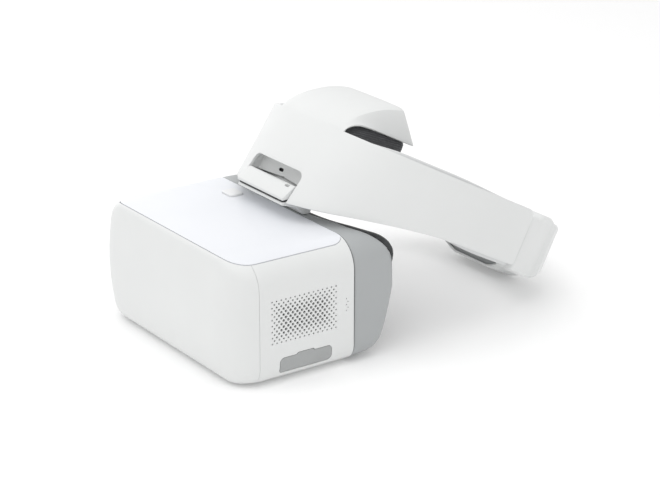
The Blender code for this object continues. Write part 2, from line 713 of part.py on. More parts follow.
def liner():
    """A channel-shaped inner liner that closes the band's inside, its rims meeting the outer shell."""
    rings = []
    for turn, x, v in band_stations(SKIN + 0.5, ARM_END_V - 3.0, TURNS + CAP_TURNS):
        low = low_edge(turn) + 1.2
        top = BAND_TOP_W - (2.8 if abs(turn) < 26 else 1.2)
        lx, lv = liner_plan(turn, v)
        rings.append([band(x, v + lean(turn, top), top), band(lx, lv + lean(turn, top), top),
                      band(lx, lv + lean(turn, (low + top) / 2), (low + top) / 2),
                      band(lx, lv + lean(turn, low), low), band(x, v + lean(turn, low), low)])
    obj = solidify(add("headband_liner", loft(rings, closed_ring=False), GREY), 1.6, offset=0.0)
    boolean(obj, HINGE_POCKET)
    boolean(obj, MOUNT_POCKET)


liner()


def swept_pad(name, stations, low_of, top, thickness, mat=PAD):
    """A padded strip: stations are (turn, x, v, inward x, inward v); the section is a soft rectangle."""
    rings = []
    for turn, x, v, nx, nv in stations:
        low = low_of(turn)
        ring = []
        for depth, w in ((0.0, low + 1.5), (0.0, top - 1.5), (0.25, top), (0.75, top - 0.5), (1.0, top - 6.0),
                         (1.0, low + 6.0), (0.75, low + 0.5), (0.25, low)):
            reach = depth * thickness
            ring.append(band(x + nx * reach, v + nv * reach + lean(turn, w), w))
        rings.append(ring)
    return add(name, loft(rings, cap_start=True, cap_end=True), mat)


def forehead_pad():
    """Front pad against the liner."""
    stations = []
    for turn in (-64, -52, -40, -28, -15, 0, 15, 28, 40, 52, 64):
        x, v = liner_plan(float(turn), 0.0, 1.4)
        a = math.radians(turn)
        stations.append((turn, x, v, -math.sin(a), math.cos(a)))
    pad = swept_pad("forehead_pad", stations, lambda turn: low_edge(turn) + 5.0, 52.0, 10.0)
    boolean(pad, MOUNT_POCKET)
    for side, word in ((1, "left"), (-1, "right")):
        line = [(90.0, side * (LINER_HALF_W - 1.4), v, -side, 0.0) for v in (88.0, 104.0, 120.0, 136.0)]
        swept_pad("side_pad_" + word, line, lambda turn: 20.0, 50.0, 5.0)


forehead_pad()


def crown_pad():
    """Soft lining under the crown cap."""
    bm = bmesh.new()
    rows = []
    for b in (0.22, 0.4, 0.6, 0.8, 0.95):
        row = []
        for a in (-0.95, -0.8, -0.6, -0.3, 0.0, 0.3, 0.6, 0.8, 0.95):
            x, v, w = cap_point(a, b)
            row.append(bm.verts.new(band(x * 0.87, v + 2.6, w - 4.6)))
        rows.append(row)
    for first, second in zip(rows, rows[1:]):
        for k in range(len(first) - 1):
            bm.faces.new((first[k], first[k + 1], second[k + 1], second[k]))
    pad = solidify(add("crown_pad", bm, PAD), 4.5)
    boolean(pad, MOUNT_POCKET)


crown_pad()


# ---------------------------------------------------------------- rear housing
def rear_plan(turn, inset=0.0):
    """Rear of the headband from above: turn is 0 at the back, growing towards the sides."""
    a = math.radians(abs(turn))
    x = (BAND_HALF_W - inset) * math.sin(a) ** (2 / REAR_POWER)
    return math.copysign(x, turn), BAND_MID_V + (BAND_REAR - inset) * math.cos(a) ** (2 / REAR_POWER)


REAR_TURNS = [-71.0, -66.0, -59.0, -51.0, -48.0, -40.0, -30.0, -20.0, -10.0, 0.0,
              10.0, 20.0, 30.0, 40.0, 48.0, 51.0, 59.0, 66.0, 71.0]


def rear_low(x):
    """The housing's lower edge dips in the middle, where it stands on the table."""
    return REAR_LOW_W + 7.0 * min(1.0, (abs(x) / 78.0) ** 2)


def cheek_share(turn):
    """0 over the thick housing, 1 over the thin cheeks beside the arms."""
    return min(1.0, max(0.0, (abs(turn) - CHEEK_TURN + 10.0) / 18.0))


def rear_depth(turn):
    """Depth of the housing: thin cheeks, thick at the back."""
    return HOUSING_DEPTH + (CHEEK_DEPTH - HOUSING_DEPTH) * cheek_share(turn)


def rear_housing():
    """Outer cover, inner wall, straps, cells, board and soft pad."""
    rings = []
    wall = []
    for turn in REAR_TURNS:
        proud = 2.2 if abs(turn) > CHEEK_TURN else 0.0
        x, v = rear_plan(turn, proud)
        depth = rear_depth(turn)
        ix, iv = rear_plan(turn, proud + depth)
        low, top = rear_low(x), 56.0 if abs(turn) > CHEEK_TURN else 54.5
        mx, mv = rear_plan(turn, proud + 2.5)
        rings.append([band(ix, iv, top), band(mx, mv, top), band(x, v, top - 4.0), band(x, v, low + 5.0),
                      band(mx, mv, low), band(ix, iv, low)])
        wx, wv = rear_plan(turn, proud + depth - 1.6)
        wall.append([band(wx, wv, top - 2.6 - 0.5), band(wx, wv, low + 2.6 + 0.5)])
    cover = solidify(add("rear_cover", loft(rings, closed_ring=False), WHITE), 2.2)
    solidify(add("rear_inner_wall", loft(wall, closed_ring=False), GREY), 1.4, offset=0.0)
    return cover


COVER = rear_housing()


def rear_pieces():
    """Straps, battery, size knob, power button, charging socket and rear pad."""
    for side, word in ((1, "left"), (-1, "right")):
        strap = box("size_strap_" + word, (3.0, 44.0, 36.0), band_matrix(side * (STRAP_X - 1.5), 136.0, 34.5), BLACK)
        bevel(strap, 0.8, 1)
    for w, word in ((16.5, "lower"), (43.5, "upper")):
        cylinder("battery_cell_" + word, 8.9, 64.0, band_matrix(0, KNOB_V - 13.1, w) @ TURN_Y, CELL, sides=28)
    pivot = band(0, KNOB_V, KNOB_W)
    knob_at = band_matrix(0, KNOB_V + 1.8, KNOB_W) @ TURN_X
    boolean(COVER, cylinder("knob_bore", 3.0, 20.0, band_matrix(0, KNOB_V, KNOB_W) @ TURN_X, cutter=True, sides=20))
    knob = cylinder("size_knob", KNOB_R, 3.0, knob_at, BLACK, pivot, sides=36)
    boolean(knob, cylinder("size_shaft", 2.4, 16.0, band_matrix(0, KNOB_V - 7.0, KNOB_W) @ TURN_X,
                           cutter=True, sides=16), "UNION")
    plate("size_pinion", gear_outline(3.4, 10, 0.7, 0.8, 0.55, 0.3), 2.4,
          band_matrix(0, KNOB_V - 16.6, KNOB_W) @ TURN_X, STEEL, pivot)
    boolean(COVER, cylinder("power_bore", 4.4, 14.0, band_matrix(-46, 203, 54.5), cutter=True, sides=20))
    cylinder("power_button", 4.0, 5.0, band_matrix(-46, 203, 53.2), BLACK, band(-46, 203, 53.2), sides=20)
    boolean(COVER, box("light_slot", (16.6, 3.1, 14.0), band_matrix(-28, 209, 54.5), cutter=True))
    box("battery_light", (16.0, 2.5, 1.8), band_matrix(-28, 209, 54.0), GLASS)
    boolean(COVER, cylinder("charge_bore", 4.1, 14.0, band_matrix(46, 203, 54.5), cutter=True, sides=20))
    socket = cylinder("charge_socket", 3.7, 8.0, band_matrix(46, 203, 50.2), BLACK, sides=20)
    boolean(socket, cylinder("charge_mouth", 2.2, 8.0, band_matrix(46, 203, 53.2), cutter=True, sides=20))
    stations = []
    for turn in (-47, -36, -24, -12, 0, 12, 24, 36, 47):
        x, v = rear_plan(float(turn), 27.0)
        a = math.radians(turn)
        stations.append((90.0, x, v, -math.sin(a), -math.cos(a)))
    swept_pad("rear_pad", stations, lambda turn: 6.0, 50.0, 9.0)


rear_pieces()
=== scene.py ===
# %% [markdown]
# # FPV goggles: a lesson in moulded shells and soft pads
#
# The goggles are a white video visor that hangs from a rigid headband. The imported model
# gives every piece's size and place; this script gives them their finished surfaces.
# Thin moulded shells are drawn as grids laid over a curved surface and given a wall,
# and the foam and fabric pads are filled out by a short cloth simulation.

# %% Load the frame
import json
import math

import bmesh
import bpy
from mathutils import Matrix, Vector


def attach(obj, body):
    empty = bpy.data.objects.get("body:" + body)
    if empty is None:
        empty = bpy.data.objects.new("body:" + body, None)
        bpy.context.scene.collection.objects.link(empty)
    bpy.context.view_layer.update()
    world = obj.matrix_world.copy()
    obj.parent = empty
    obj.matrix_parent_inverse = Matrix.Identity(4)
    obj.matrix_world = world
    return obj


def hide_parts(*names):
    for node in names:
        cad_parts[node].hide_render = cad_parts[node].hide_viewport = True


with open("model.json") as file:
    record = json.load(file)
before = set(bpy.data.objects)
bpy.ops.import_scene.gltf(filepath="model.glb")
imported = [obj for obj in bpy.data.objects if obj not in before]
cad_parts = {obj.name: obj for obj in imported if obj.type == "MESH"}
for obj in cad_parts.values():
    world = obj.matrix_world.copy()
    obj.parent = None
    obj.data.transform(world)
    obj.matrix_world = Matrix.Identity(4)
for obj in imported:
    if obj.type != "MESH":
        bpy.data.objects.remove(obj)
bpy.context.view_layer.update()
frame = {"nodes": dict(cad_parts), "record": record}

# %% [markdown]
# ## Sizes
# The model is drawn in millimetres, because that is how a moulding drawing is read, and
# turned into metres at the last moment. The visor has its own upright frame, with y = 0
# at its front face. The headband is pitched nose-up by 28 degrees, so it gets a second
# frame: v runs back along the band and w runs up across it.

# %% Two frames, one scene
MM = 0.001
Y_MID = 169.5
PITCH = math.radians(28.0)
BAND_Y, BAND_Z = 115.0, 105.0


def visor(x, y, z):
    """A point of the upright visor frame, in metres."""
    return Vector((x, y - Y_MID, z)) * MM


def band(x, v, w):
    """A point of the pitched headband frame, in metres."""
    y = BAND_Y + v * math.cos(PITCH) + w * math.sin(PITCH)
    z = BAND_Z - v * math.sin(PITCH) + w * math.cos(PITCH)
    return visor(x, y, z)


SHRINK_MM = Matrix.Diagonal((MM, MM, MM, 1))
ON_SIDE = Matrix.Rotation(math.pi / 2, 4, "Z") @ Matrix.Rotation(math.pi / 2, 4, "X")
FACING_FRONT = Matrix.Rotation(math.pi / 2, 4, "X")
FACING_DOWN = Matrix.Rotation(math.pi, 4, "X")
FACING_BACK = Matrix.Rotation(-math.pi / 2, 4, "X")
UPRIGHT = Matrix.Identity(4)


def at_visor(x, y, z, turn=UPRIGHT):
    """Places a shape drawn in millimetres in the visor's frame."""
    return Matrix.Translation(visor(x, y, z)) @ turn @ SHRINK_MM


def at_band(x, v, w, turn=UPRIGHT):
    """Places a shape drawn in millimetres in the headband's frame."""
    return Matrix.Translation(band(x, v, w)) @ Matrix.Rotation(-PITCH, 4, "X") @ turn @ SHRINK_MM


def from_visor(point):
    """A point's x, y and z in the visor frame, in millimetres."""
    return point.x / MM, point.y / MM + Y_MID, point.z / MM


def from_band(point):
    """A point's x, v and w in the headband frame, in millimetres."""
    x, y, z = from_visor(point)
    y, z = y - BAND_Y, z - BAND_Z
    return x, y * math.cos(PITCH) - z * math.sin(PITCH), y * math.sin(PITCH) + z * math.cos(PITCH)


print("hinge axis at", [round(c * 1000, 1) for c in band(0, -18.5, 1.0)])

# %% [markdown]
# ## Materials
# Every finish is built from noise in the object's own coordinates, so it stays put when
# a part moves. Moulded plastic is never one flat colour: it has a very fine spark-eroded
# grain, slow drifts in tone, and a gloss that varies where fingers have polished it.

# %% A base for every finish
def finish(name, colour, roughness, metallic=0.0, **extra):
    """A new material, its shader, and a helper that adds and wires nodes."""
    mat = bpy.data.materials.new(name)
    mat.use_nodes = True
    tree = mat.node_tree
    shader = tree.nodes["Principled BSDF"]
    shader.inputs["Base Color"].default_value = (*colour, 1.0)
    shader.inputs["Roughness"].default_value = roughness
    shader.inputs["Metallic"].default_value = metallic
    for socket, value in extra.items():
        shader.inputs[socket.replace("_", " ")].default_value = value
    place = tree.nodes.new("ShaderNodeTexCoord").outputs["Object"]
    return mat, tree, shader, place


def noise(tree, place, scale, detail=4.0, roughness=0.55):
    """Noise over the object, scale in features per metre."""
    node = tree.nodes.new("ShaderNodeTexNoise")
    for socket, number in (("Scale", scale), ("Detail", detail), ("Roughness", roughness)):
        node.inputs[socket].default_value = number
    tree.links.new(place, node.inputs["Vector"])
    return node.outputs["Fac"]


def ranged(tree, value, low, high, lo_in=0.3, hi_in=0.7):
    """Spreads a noise value between two limits."""
    node = tree.nodes.new("ShaderNodeMapRange")
    for socket, number in (("From Min", lo_in), ("From Max", hi_in), ("To Min", low), ("To Max", high)):
        node.inputs[socket].default_value = number
    tree.links.new(value, node.inputs["Value"])
    return node.outputs["Result"]


def tint(tree, value, first, second):
    """Mixes two colours by a value."""
    node = tree.nodes.new("ShaderNodeMix")
    node.data_type = "RGBA"
    node.inputs["A"].default_value = (*first, 1.0)
    node.inputs["B"].default_value = (*second, 1.0)
    tree.links.new(value, node.inputs["Factor"])
    return node.outputs["Result"]


def relief(tree, shader, height, depth, strength=0.5):
    """Raises the surface by a height map, depth in metres."""
    node = tree.nodes.new("ShaderNodeBump")
    node.inputs["Distance"].default_value = depth
    node.inputs["Strength"].default_value = strength
    tree.links.new(height, node.inputs["Height"])
    tree.links.new(node.outputs["Normal"], shader.inputs["Normal"])


def shade(colour, factor):
    """A colour made darker or lighter."""
    return tuple(min(1.0, c * factor) for c in colour)


# %% [markdown]
# ### Moulded plastic
# One recipe serves the white shell, the cooler top panel, the grey frame and the black
# small parts. What changes is the colour, how coarse the mould's grain is, and how much
# the tone drifts.

# %% Moulded plastics
def moulded(name, colour, roughness, grain=2600.0, drift=0.03, depth=0.00003, strength=0.25):
    """Satin moulded plastic with grain, drifting tone and uneven gloss."""
    mat, tree, shader, place = finish(name, colour, roughness, Specular_IOR_Level=0.42)
    slow = noise(tree, place, 22.0, 3.0)
    colours = tint(tree, ranged(tree, slow, 0.0, 1.0), shade(colour, 1 - drift),
                   shade(colour, 1 + drift * 0.5))
    tree.links.new(colours, shader.inputs["Base Color"])
    polish = noise(tree, place, 60.0, 5.0)
    tree.links.new(ranged(tree, polish, roughness * 0.88, roughness * 1.12), shader.inputs["Roughness"])
    relief(tree, shader, noise(tree, place, grain, 2.0), depth, strength)
    return mat


SHELL_WHITE = moulded("white_shell", (0.78, 0.79, 0.785), 0.42, drift=0.012)
PANEL_WHITE = moulded("cool_white_panel", (0.84, 0.855, 0.89), 0.36, drift=0.01)
BUTTON_WHITE = moulded("button_white", (0.86, 0.865, 0.87), 0.33, drift=0.01)
FRAME_GREY = moulded("grey_shell", (0.42, 0.435, 0.44), 0.4, drift=0.015)
# Dark grey for the inner wall seen through the gap lines: painted shade for the gaps.
GAP_SHADE_GREY = moulded("gap_painted_shade", (0.30, 0.31, 0.31), 0.6, drift=0.05)
INNER_WHITE = moulded("inner_white", (0.70, 0.71, 0.71), 0.5, drift=0.02)
PORT_RUBBER = moulded("grey_rubber", (0.40, 0.41, 0.41), 0.68, grain=1500.0, drift=0.05, strength=0.5)
BLACK = moulded("black_plastic", (0.022, 0.022, 0.024), 0.46, grain=1800.0, drift=0.25, strength=0.5)
print("plastics:", len(bpy.data.materials))

# %% [markdown]
# ### Foam skin and knitted lining
# The face seal is foam under a thin smooth skin, so it has a fine open-pored grain and a
# soft sheen. The head pads wear a knit: two crossed waves make the rows of loops, and a
# little noise keeps the rows from looking ruled.

# %% Soft finishes
def foam_skin(name, colour):
    """Microfibre over foam: small pores, slight mottling, soft sheen."""
    mat, tree, shader, place = finish(name, colour, 0.88, Sheen_Weight=0.35, Sheen_Roughness=0.4)
    pores = tree.nodes.new("ShaderNodeTexVoronoi")
    pores.inputs["Scale"].default_value = 1500.0
    tree.links.new(place, pores.inputs["Vector"])
    mottle = ranged(tree, noise(tree, place, 120.0, 6.0), 0.0, 1.0)
    tree.links.new(tint(tree, mottle, shade(colour, 0.75), shade(colour, 1.3)), shader.inputs["Base Color"])
    relief(tree, shader, pores.outputs["Distance"], 0.0003, 0.5)
    return mat


def knitted(name, colour, pitch=0.0014):
    """A fine knit: crossed waves for the loops, noise to loosen them."""
    mat, tree, shader, place = finish(name, colour, 0.92, Sheen_Weight=0.5, Sheen_Roughness=0.5)
    warped = tree.nodes.new("ShaderNodeVectorMath")
    warped.operation = "MULTIPLY_ADD"
    loosen = tree.nodes.new("ShaderNodeTexNoise")
    loosen.inputs["Scale"].default_value = 300.0
    tree.links.new(place, loosen.inputs["Vector"])
    tree.links.new(loosen.outputs["Color"], warped.inputs[0])
    warped.inputs[1].default_value = (pitch * 0.6,) * 3
    tree.links.new(place, warped.inputs[2])
    waves = []
    for direction in ("X", "Z"):
        wave = tree.nodes.new("ShaderNodeTexWave")
        wave.bands_direction = direction
        wave.inputs["Scale"].default_value = math.pi / (10 * pitch)
        tree.links.new(warped.outputs["Vector"], wave.inputs["Vector"])
        waves.append(wave.outputs["Fac"])
    loops = tree.nodes.new("ShaderNodeMath")
    loops.operation = "MULTIPLY"
    for socket, wave in zip(loops.inputs, waves):
        tree.links.new(wave, socket)
    colours = tint(tree, loops.outputs[0], shade(colour, 0.6), shade(colour, 1.5))
    tree.links.new(colours, shader.inputs["Base Color"])
    relief(tree, shader, loops.outputs[0], 0.0004, 0.6)
    return mat


FOAM = foam_skin("dark_foam", (0.052, 0.054, 0.056))
KNIT = knitted("pad_fabric", (0.075, 0.077, 0.082))

# %% [markdown]
# ### Metal, glass, boards and battery wrap
# Inside pieces are seen through the eye opening, the grille and the open port flap. The
# metals get drawn streaks, the board a pattern of copper tracks under green mask, and
# the cells a glossy wrap.

# %% Inside finishes
def drawn_metal(name, colour, roughness):
    """Metal with fine streaks along X."""
    mat, tree, shader, place = finish(name, colour, roughness, metallic=1.0)
    stretch = tree.nodes.new("ShaderNodeMapping")
    stretch.inputs["Scale"].default_value = (0.05, 1.0, 1.0)
    tree.links.new(place, stretch.inputs["Vector"])
    streaks = noise(tree, stretch.outputs["Vector"], 2500.0, 3.0)
    tree.links.new(ranged(tree, streaks, roughness * 0.7, roughness * 1.4), shader.inputs["Roughness"])
    tree.links.new(tint(tree, streaks, shade(colour, 0.8), shade(colour, 1.1)), shader.inputs["Base Color"])
    relief(tree, shader, streaks, 0.00002, 0.4)
    return mat


def board_mask(name):
    """Solder mask with tracks under it."""
    mat, tree, shader, place = finish(name, (0.01, 0.10, 0.04), 0.35)
    tracks = tree.nodes.new("ShaderNodeTexBrick")
    tracks.inputs["Scale"].default_value = 260.0
    tracks.inputs["Mortar Size"].default_value = 0.05
    tree.links.new(place, tracks.inputs["Vector"])
    tracks.inputs["Color1"].default_value = (0.008, 0.085, 0.03, 1)
    tracks.inputs["Color2"].default_value = (0.012, 0.12, 0.045, 1)
    tracks.inputs["Mortar"].default_value = (0.05, 0.2, 0.06, 1)
    tree.links.new(tracks.outputs["Color"], shader.inputs["Base Color"])
    relief(tree, shader, tracks.outputs["Fac"], 0.00003, 0.5)
    return mat


def coated_glass(name):
    """A coated lens: clear, slightly blue, with faint smears."""
    mat, tree, shader, place = finish(name, (0.62, 0.68, 0.82), 0.05, Transmission_Weight=0.85,
                                      IOR=1.5, Coat_Weight=0.6)
    tree.links.new(ranged(tree, noise(tree, place, 90.0, 5.0), 0.02, 0.12), shader.inputs["Roughness"])
    return mat


STEEL = drawn_metal("steel", (0.58, 0.58, 0.59), 0.32)
ALLOY = drawn_metal("alloy", (0.50, 0.51, 0.53), 0.42)
MASK = board_mask("circuit_board")
LENS = coated_glass("lens_glass")
WRAP = moulded("battery_wrap", (0.03, 0.10, 0.32), 0.28, grain=600.0, drift=0.15)
FINISHES = {"white_shell": SHELL_WHITE, "cool_white_panel": PANEL_WHITE, "grey_shell": FRAME_GREY,
            "grey_rubber": PORT_RUBBER, "dark_foam": FOAM, "black_plastic": BLACK, "lens_glass": LENS,
            "steel": STEEL, "alloy": ALLOY, "circuit_board": MASK, "battery_wrap": WRAP, "pad_fabric": KNIT}

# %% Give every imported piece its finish
slot_of = {part["node"]: part["material_slot"] for part in frame["record"]["subparts"]}
for node, obj in frame["nodes"].items():
    for holder in obj.material_slots:
        holder.material = FINISHES[slot_of[node]]
print("finished nodes:", len(slot_of))

# %% [markdown]
# ## Tools for making pieces
# Most shells here are grids: `create_grid` makes the faces, and each row of its points
# is laid along one line of the surface. Flat pieces start from an outline that is filled
# and pulled to a depth. Both get smooth shading that stays crisp at real edges.

# %% Piece tools
def laid_grid(rows):
    """A grid whose rows of points lie along the given lines."""
    bm = bmesh.new()
    bmesh.ops.create_grid(bm, x_segments=len(rows[0]) - 1, y_segments=len(rows) - 1, size=1.0)
    for vert, point in zip(bm.verts, (point for row in rows for point in row)):
        vert.co = point
    return bm


def prism(outline, depth, place):
    """An outline in millimetres, filled and pulled to a depth, centred on its plane."""
    bm = bmesh.new()
    loop = [bm.verts.new((x, y, -depth / 2)) for x, y in outline]
    bottom = bm.faces.new(loop)
    pulled = bmesh.ops.extrude_face_region(bm, geom=[bottom])["geom"]
    raised = [item for item in pulled if isinstance(item, bmesh.types.BMVert)]
    bmesh.ops.translate(bm, verts=raised, vec=(0, 0, depth))
    bmesh.ops.transform(bm, verts=bm.verts, matrix=place)
    return bm


def made(name, bm, mat, sharp=35):
    """Cleans a bmesh and makes it an object."""
    bmesh.ops.remove_doubles(bm, verts=bm.verts, dist=0.000004)
    bmesh.ops.recalc_face_normals(bm, faces=bm.faces)
    mesh = bpy.data.meshes.new(name)
    bm.to_mesh(mesh)
    bm.free()
    obj = bpy.data.objects.new(name, mesh)
    bpy.context.scene.collection.objects.link(obj)
    if mat is not None:
        mesh.materials.append(mat)
        mesh.shade_smooth()
        mesh.set_sharp_from_angle(angle=math.radians(sharp))
    return obj


def cylinder(name, radius, depth, place, segments=40, mat=None):
    """A round bar about the place's own Z axis."""
    bm = bmesh.new()
    bmesh.ops.create_cone(bm, cap_ends=True, segments=segments, radius1=radius, radius2=radius, depth=depth,
                          matrix=place)
    return made(name, bm, mat)


def worked(obj, kind, **settings):
    """Adds a modifier with its settings."""
    mod = obj.modifiers.new(kind.lower(), kind)
    for name, value in settings.items():
        setattr(mod, name, value)
    return mod


def walled(obj, thickness, offset=-1.0):
    """Gives a sheet its wall, thickness in millimetres."""
    worked(obj, "SOLIDIFY", thickness=thickness * MM, offset=offset, use_even_offset=True,
           thickness_clamp=1.0)
    return obj


def softened(obj, width, segments=2, angle=40):
    """Rounds the sharp edges, width in millimetres."""
    worked(obj, "BEVEL", width=width * MM, segments=segments, limit_method="ANGLE",
           angle_limit=math.radians(angle), harden_normals=False)
    return obj


def settled(obj, sharp=35):
    """Makes an object's modified mesh its own."""
    bpy.context.view_layer.update()
    seen = obj.evaluated_get(bpy.context.evaluated_depsgraph_get())
    mesh = bpy.data.meshes.new_from_object(seen)
    obj.modifiers.clear()
    obj.data = mesh
    mesh.shade_smooth()
    mesh.set_sharp_from_angle(angle=math.radians(sharp))
    return obj


def carved(obj, tool, operation="DIFFERENCE"):
    """Cuts with, joins to or keeps only the part inside a tool, then removes the tool."""
    worked(obj, "BOOLEAN", object=tool, operation=operation, solver="EXACT")
    settled(obj)
    bpy.data.objects.remove(tool, do_unlink=True)
    return obj


def copy_of(obj, name):
    """A second object with its own mesh."""
    twin = obj.copy()
    twin.data = obj.data.copy()
    twin.name = name
    bpy.context.scene.collection.objects.link(twin)
    return twin


def fitted(obj, body, slot, *nodes):
    """Fixes a piece to its body and hides the imported nodes it stands for; slot is not used."""
    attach(obj, body)
    if nodes:
        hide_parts(*nodes)
    return obj


def arc(cx, cy, radius, start, stop, steps=6):
    """Points of a circular arc, angles in degrees."""
    turns = [math.radians(start + (stop - start) * k / steps) for k in range(steps + 1)]
    return [(cx + radius * math.cos(turn), cy + radius * math.sin(turn)) for turn in turns]


def rounded(x0, y0, x1, y1, radius, steps=5):
    """A rectangle with round corners."""
    return (arc(x1 - radius, y0 + radius, radius, -90, 0, steps)
            + arc(x1 - radius, y1 - radius, radius, 0, 90, steps)
            + arc(x0 + radius, y1 - radius, radius, 90, 180, steps)
            + arc(x0 + radius, y0 + radius, radius, 180, 270, steps))


def spaced(first, last, steps):
    """Evenly spaced values, both ends included."""
    return [first + (last - first) * k / steps for k in range(steps + 1)]


def smooth(value):
    """Eases a share from 0 to 1."""
    value = min(1.0, max(0.0, value))
    return value * value * (3 - 2 * value)


# %% [markdown]
# ## Camera, light and floor
# A long lens from a little above, on the wearer's left, keeps the box's edges nearly
# parallel. One very large soft light overhead and a white room give the even, almost
# shadowless light of a studio table.

# %% The studio
AZIMUTH, ELEVATION = math.radians(54.94), math.radians(20.70)
DISTANCE = 1576.0
TARGET = visor(39.1, 124.2, 69.3)
toward = Vector((math.sin(AZIMUTH) * math.cos(ELEVATION), -math.cos(AZIMUTH) * math.cos(ELEVATION),
                 math.sin(ELEVATION)))
camera = bpy.data.objects.new("camera", bpy.data.cameras.new("camera"))
camera.data.sensor_width = 36.0
camera.data.lens = 114.76
camera.location = TARGET + toward * DISTANCE * MM
camera.rotation_euler = toward.to_track_quat("Z", "Y").to_euler()
bpy.context.scene.collection.objects.link(camera)
bpy.context.scene.camera = camera
bpy.context.scene.view_settings.view_transform = "Standard"

world = bpy.data.worlds.new("white_room")
world.use_nodes = True
world.node_tree.nodes["Background"].inputs["Color"].default_value = (1.0, 1.0, 1.0, 1.0)
world.node_tree.nodes["Background"].inputs["Strength"].default_value = 0.76
bpy.context.scene.world = world


def soft_light(name, power, size, place, aim):
    """A square area light that faces a point."""
    lamp = bpy.data.objects.new(name, bpy.data.lights.new(name, "AREA"))
    lamp.data.energy = power
    lamp.data.size = size
    lamp.location = place
    lamp.rotation_euler = (Vector(place) - Vector(aim)).to_track_quat("Z", "Y").to_euler()
    bpy.context.scene.collection.objects.link(lamp)


soft_light("overhead", 8.5, 1.6, (0.1, -0.3, 1.4), (0, 0, 0))
soft_light("side_fill", 3.0, 1.2, (-1.5, 0.1, 0.45), (0, -0.05, 0.1))
soft_light("front_fill", 1.0, 1.4, (-0.3, -1.7, 0.8), (0, 0, 0.06))

floor_mesh = bmesh.new()
bmesh.ops.create_grid(floor_mesh, x_segments=1, y_segments=1, size=6.0)
paper, tree, shader, place = finish("paper", (0.96, 0.96, 0.96), 0.9)
shader.inputs["Emission Color"].default_value = (1.0, 1.0, 1.0, 1.0)
shader.inputs["Emission Strength"].default_value = 0.1
tree.links.new(tint(tree, noise(tree, place, 3.0, 2.0), (0.92, 0.92, 0.92), (0.94, 0.94, 0.94)),
               shader.inputs["Base Color"])
floor = made("floor", floor_mesh, paper)
print("camera at", [round(c, 3) for c in camera.location])

# %% [markdown]
# ## The visor's skin
# The box is one continuous moulded surface: flat faces with big soft edges, and a front
# that is bowed so that its upper and lower edges lie further back. I lay a grid along
# sections of it, give it a wall, and then cut the covers out of that one wall, so that
# neighbouring covers always line up, as they do from real tooling.

# %% Visor skin
HALF_W, TOP, BOTTOM, SEAM_Y = 97.5, 96.0, 1.6, 104.8
PLAN_R, TOP_R, BOTTOM_R, SIDE_R, LOWER_R, BULGE = 28.0, 3.0, 9.0, 22.0, 14.0, 6.5
WALL = 1.8
MID_Z = 49.0


def pulled_in(depth, radius):
    """How far a round edge has drawn in, at a depth from its face."""
    return 0.0 if depth >= radius else radius - math.sqrt(radius ** 2 - (radius - depth) ** 2)


def section(depth, shrink=0.0, flats=6, bends=10):
    """The visor's outline in x and z, as a closed loop, at a depth behind the front."""
    inset = pulled_in(depth, PLAN_R)
    half = HALF_W - inset - shrink
    top = TOP - pulled_in(depth, TOP_R) - shrink
    low = BOTTOM + pulled_in(depth, BOTTOM_R) + shrink
    radius = max(SIDE_R - 0.6 * inset - 0.5 * shrink, 6.0)
    foot = max(LOWER_R - 0.3 * inset - 0.5 * shrink, 5.0)
    corners = ((half - foot, low + foot, foot, -90), (half - radius, top - radius, radius, 0),
               (radius - half, top - radius, radius, 90), (foot - half, low + foot, foot, 180))
    loop = []
    for cx, cz, radius, start in corners:
        bend = arc(cx, cz, radius, start, start + 90, bends)
        if loop:
            loop += straight(loop[-1], bend[0], flats)
        loop += bend
    return loop + straight(loop[-1], loop[0], flats) + [loop[0]]


def straight(first, last, steps):
    """The points between two points, ends left out."""
    return [(first[0] + (last[0] - first[0]) * k / steps, first[1] + (last[1] - first[1]) * k / steps)
            for k in range(1, steps)]


def front_shift(z, depth):
    """How far the bowed front stands back at a height."""
    fade = max(0.0, 1.0 - depth / PLAN_R)
    return BULGE * ((z - MID_Z) / 47.0) ** 2 * fade ** 0.7


def visor_skin(shrink, rear=SEAM_Y):
    """The whole skin from the seam forward, closed by the front face."""
    rows = []
    reach = (rear - shrink) / rear
    for depth in (rear, 84, 62, 45, 34, 28, 24, 20, 16.5, 13, 10, 7.5, 5.2, 3.4, 2.0, 1.0, 0.35, 0.0):
        rows.append([visor(x, shrink + (depth + front_shift(z, depth)) * reach, z)
                     for x, z in section(depth, shrink)])
    for share in (0.93, 0.82, 0.66, 0.48, 0.3, 0.13, 0.0):
        ring = [(x * share, MID_Z + (z - MID_Z) * share) for x, z in section(0.0, shrink)]
        rows.append([visor(x, shrink + front_shift(z, 0.0) * reach, z) for x, z in ring])
    return laid_grid(rows)


body = walled(made("body_wall", visor_skin(0.0, SEAM_Y - 0.35), SHELL_WHITE), WALL)
settled(body)
print("skin faces:", len(body.data.polygons))

# %% [markdown]
# ### Covers cut from one wall
# The top panel has tight front corners and rear corners that sweep in to the seam. The
# gap round it is wide enough to read as a grey line. The part line down the side is much
# finer, because there the two covers butt.

# %% Panel outline and side windows
PANEL_HALF, PANEL_FRONT, PANEL_R, PANEL_REAR_R = 87.0, 9.0, 18.5, 12.0
PART_Y = 23.0


def panel_outline(grow):
    """The top panel's edge, grown outwards by a clearance."""
    half, front = PANEL_HALF + grow, PANEL_FRONT - grow
    rear = SEAM_Y + 6 * grow
    r, q = PANEL_R + grow, PANEL_REAR_R + grow
    rear_y = SEAM_Y - q * math.sin(math.radians(65))
    sweep = arc(half - q, rear_y, q, 0, 65, 8) + [(half - q + q * math.cos(math.radians(65)) - 1, rear + 2)]
    right = arc(half - r, front + r, r, -90, 0, 10) + sweep
    return right + [(-x, y) for x, y in reversed(right)]


def slab(name, outline, depth, place):
    """A cutting tool from an outline."""
    return made(name, prism(outline, depth, place), None)


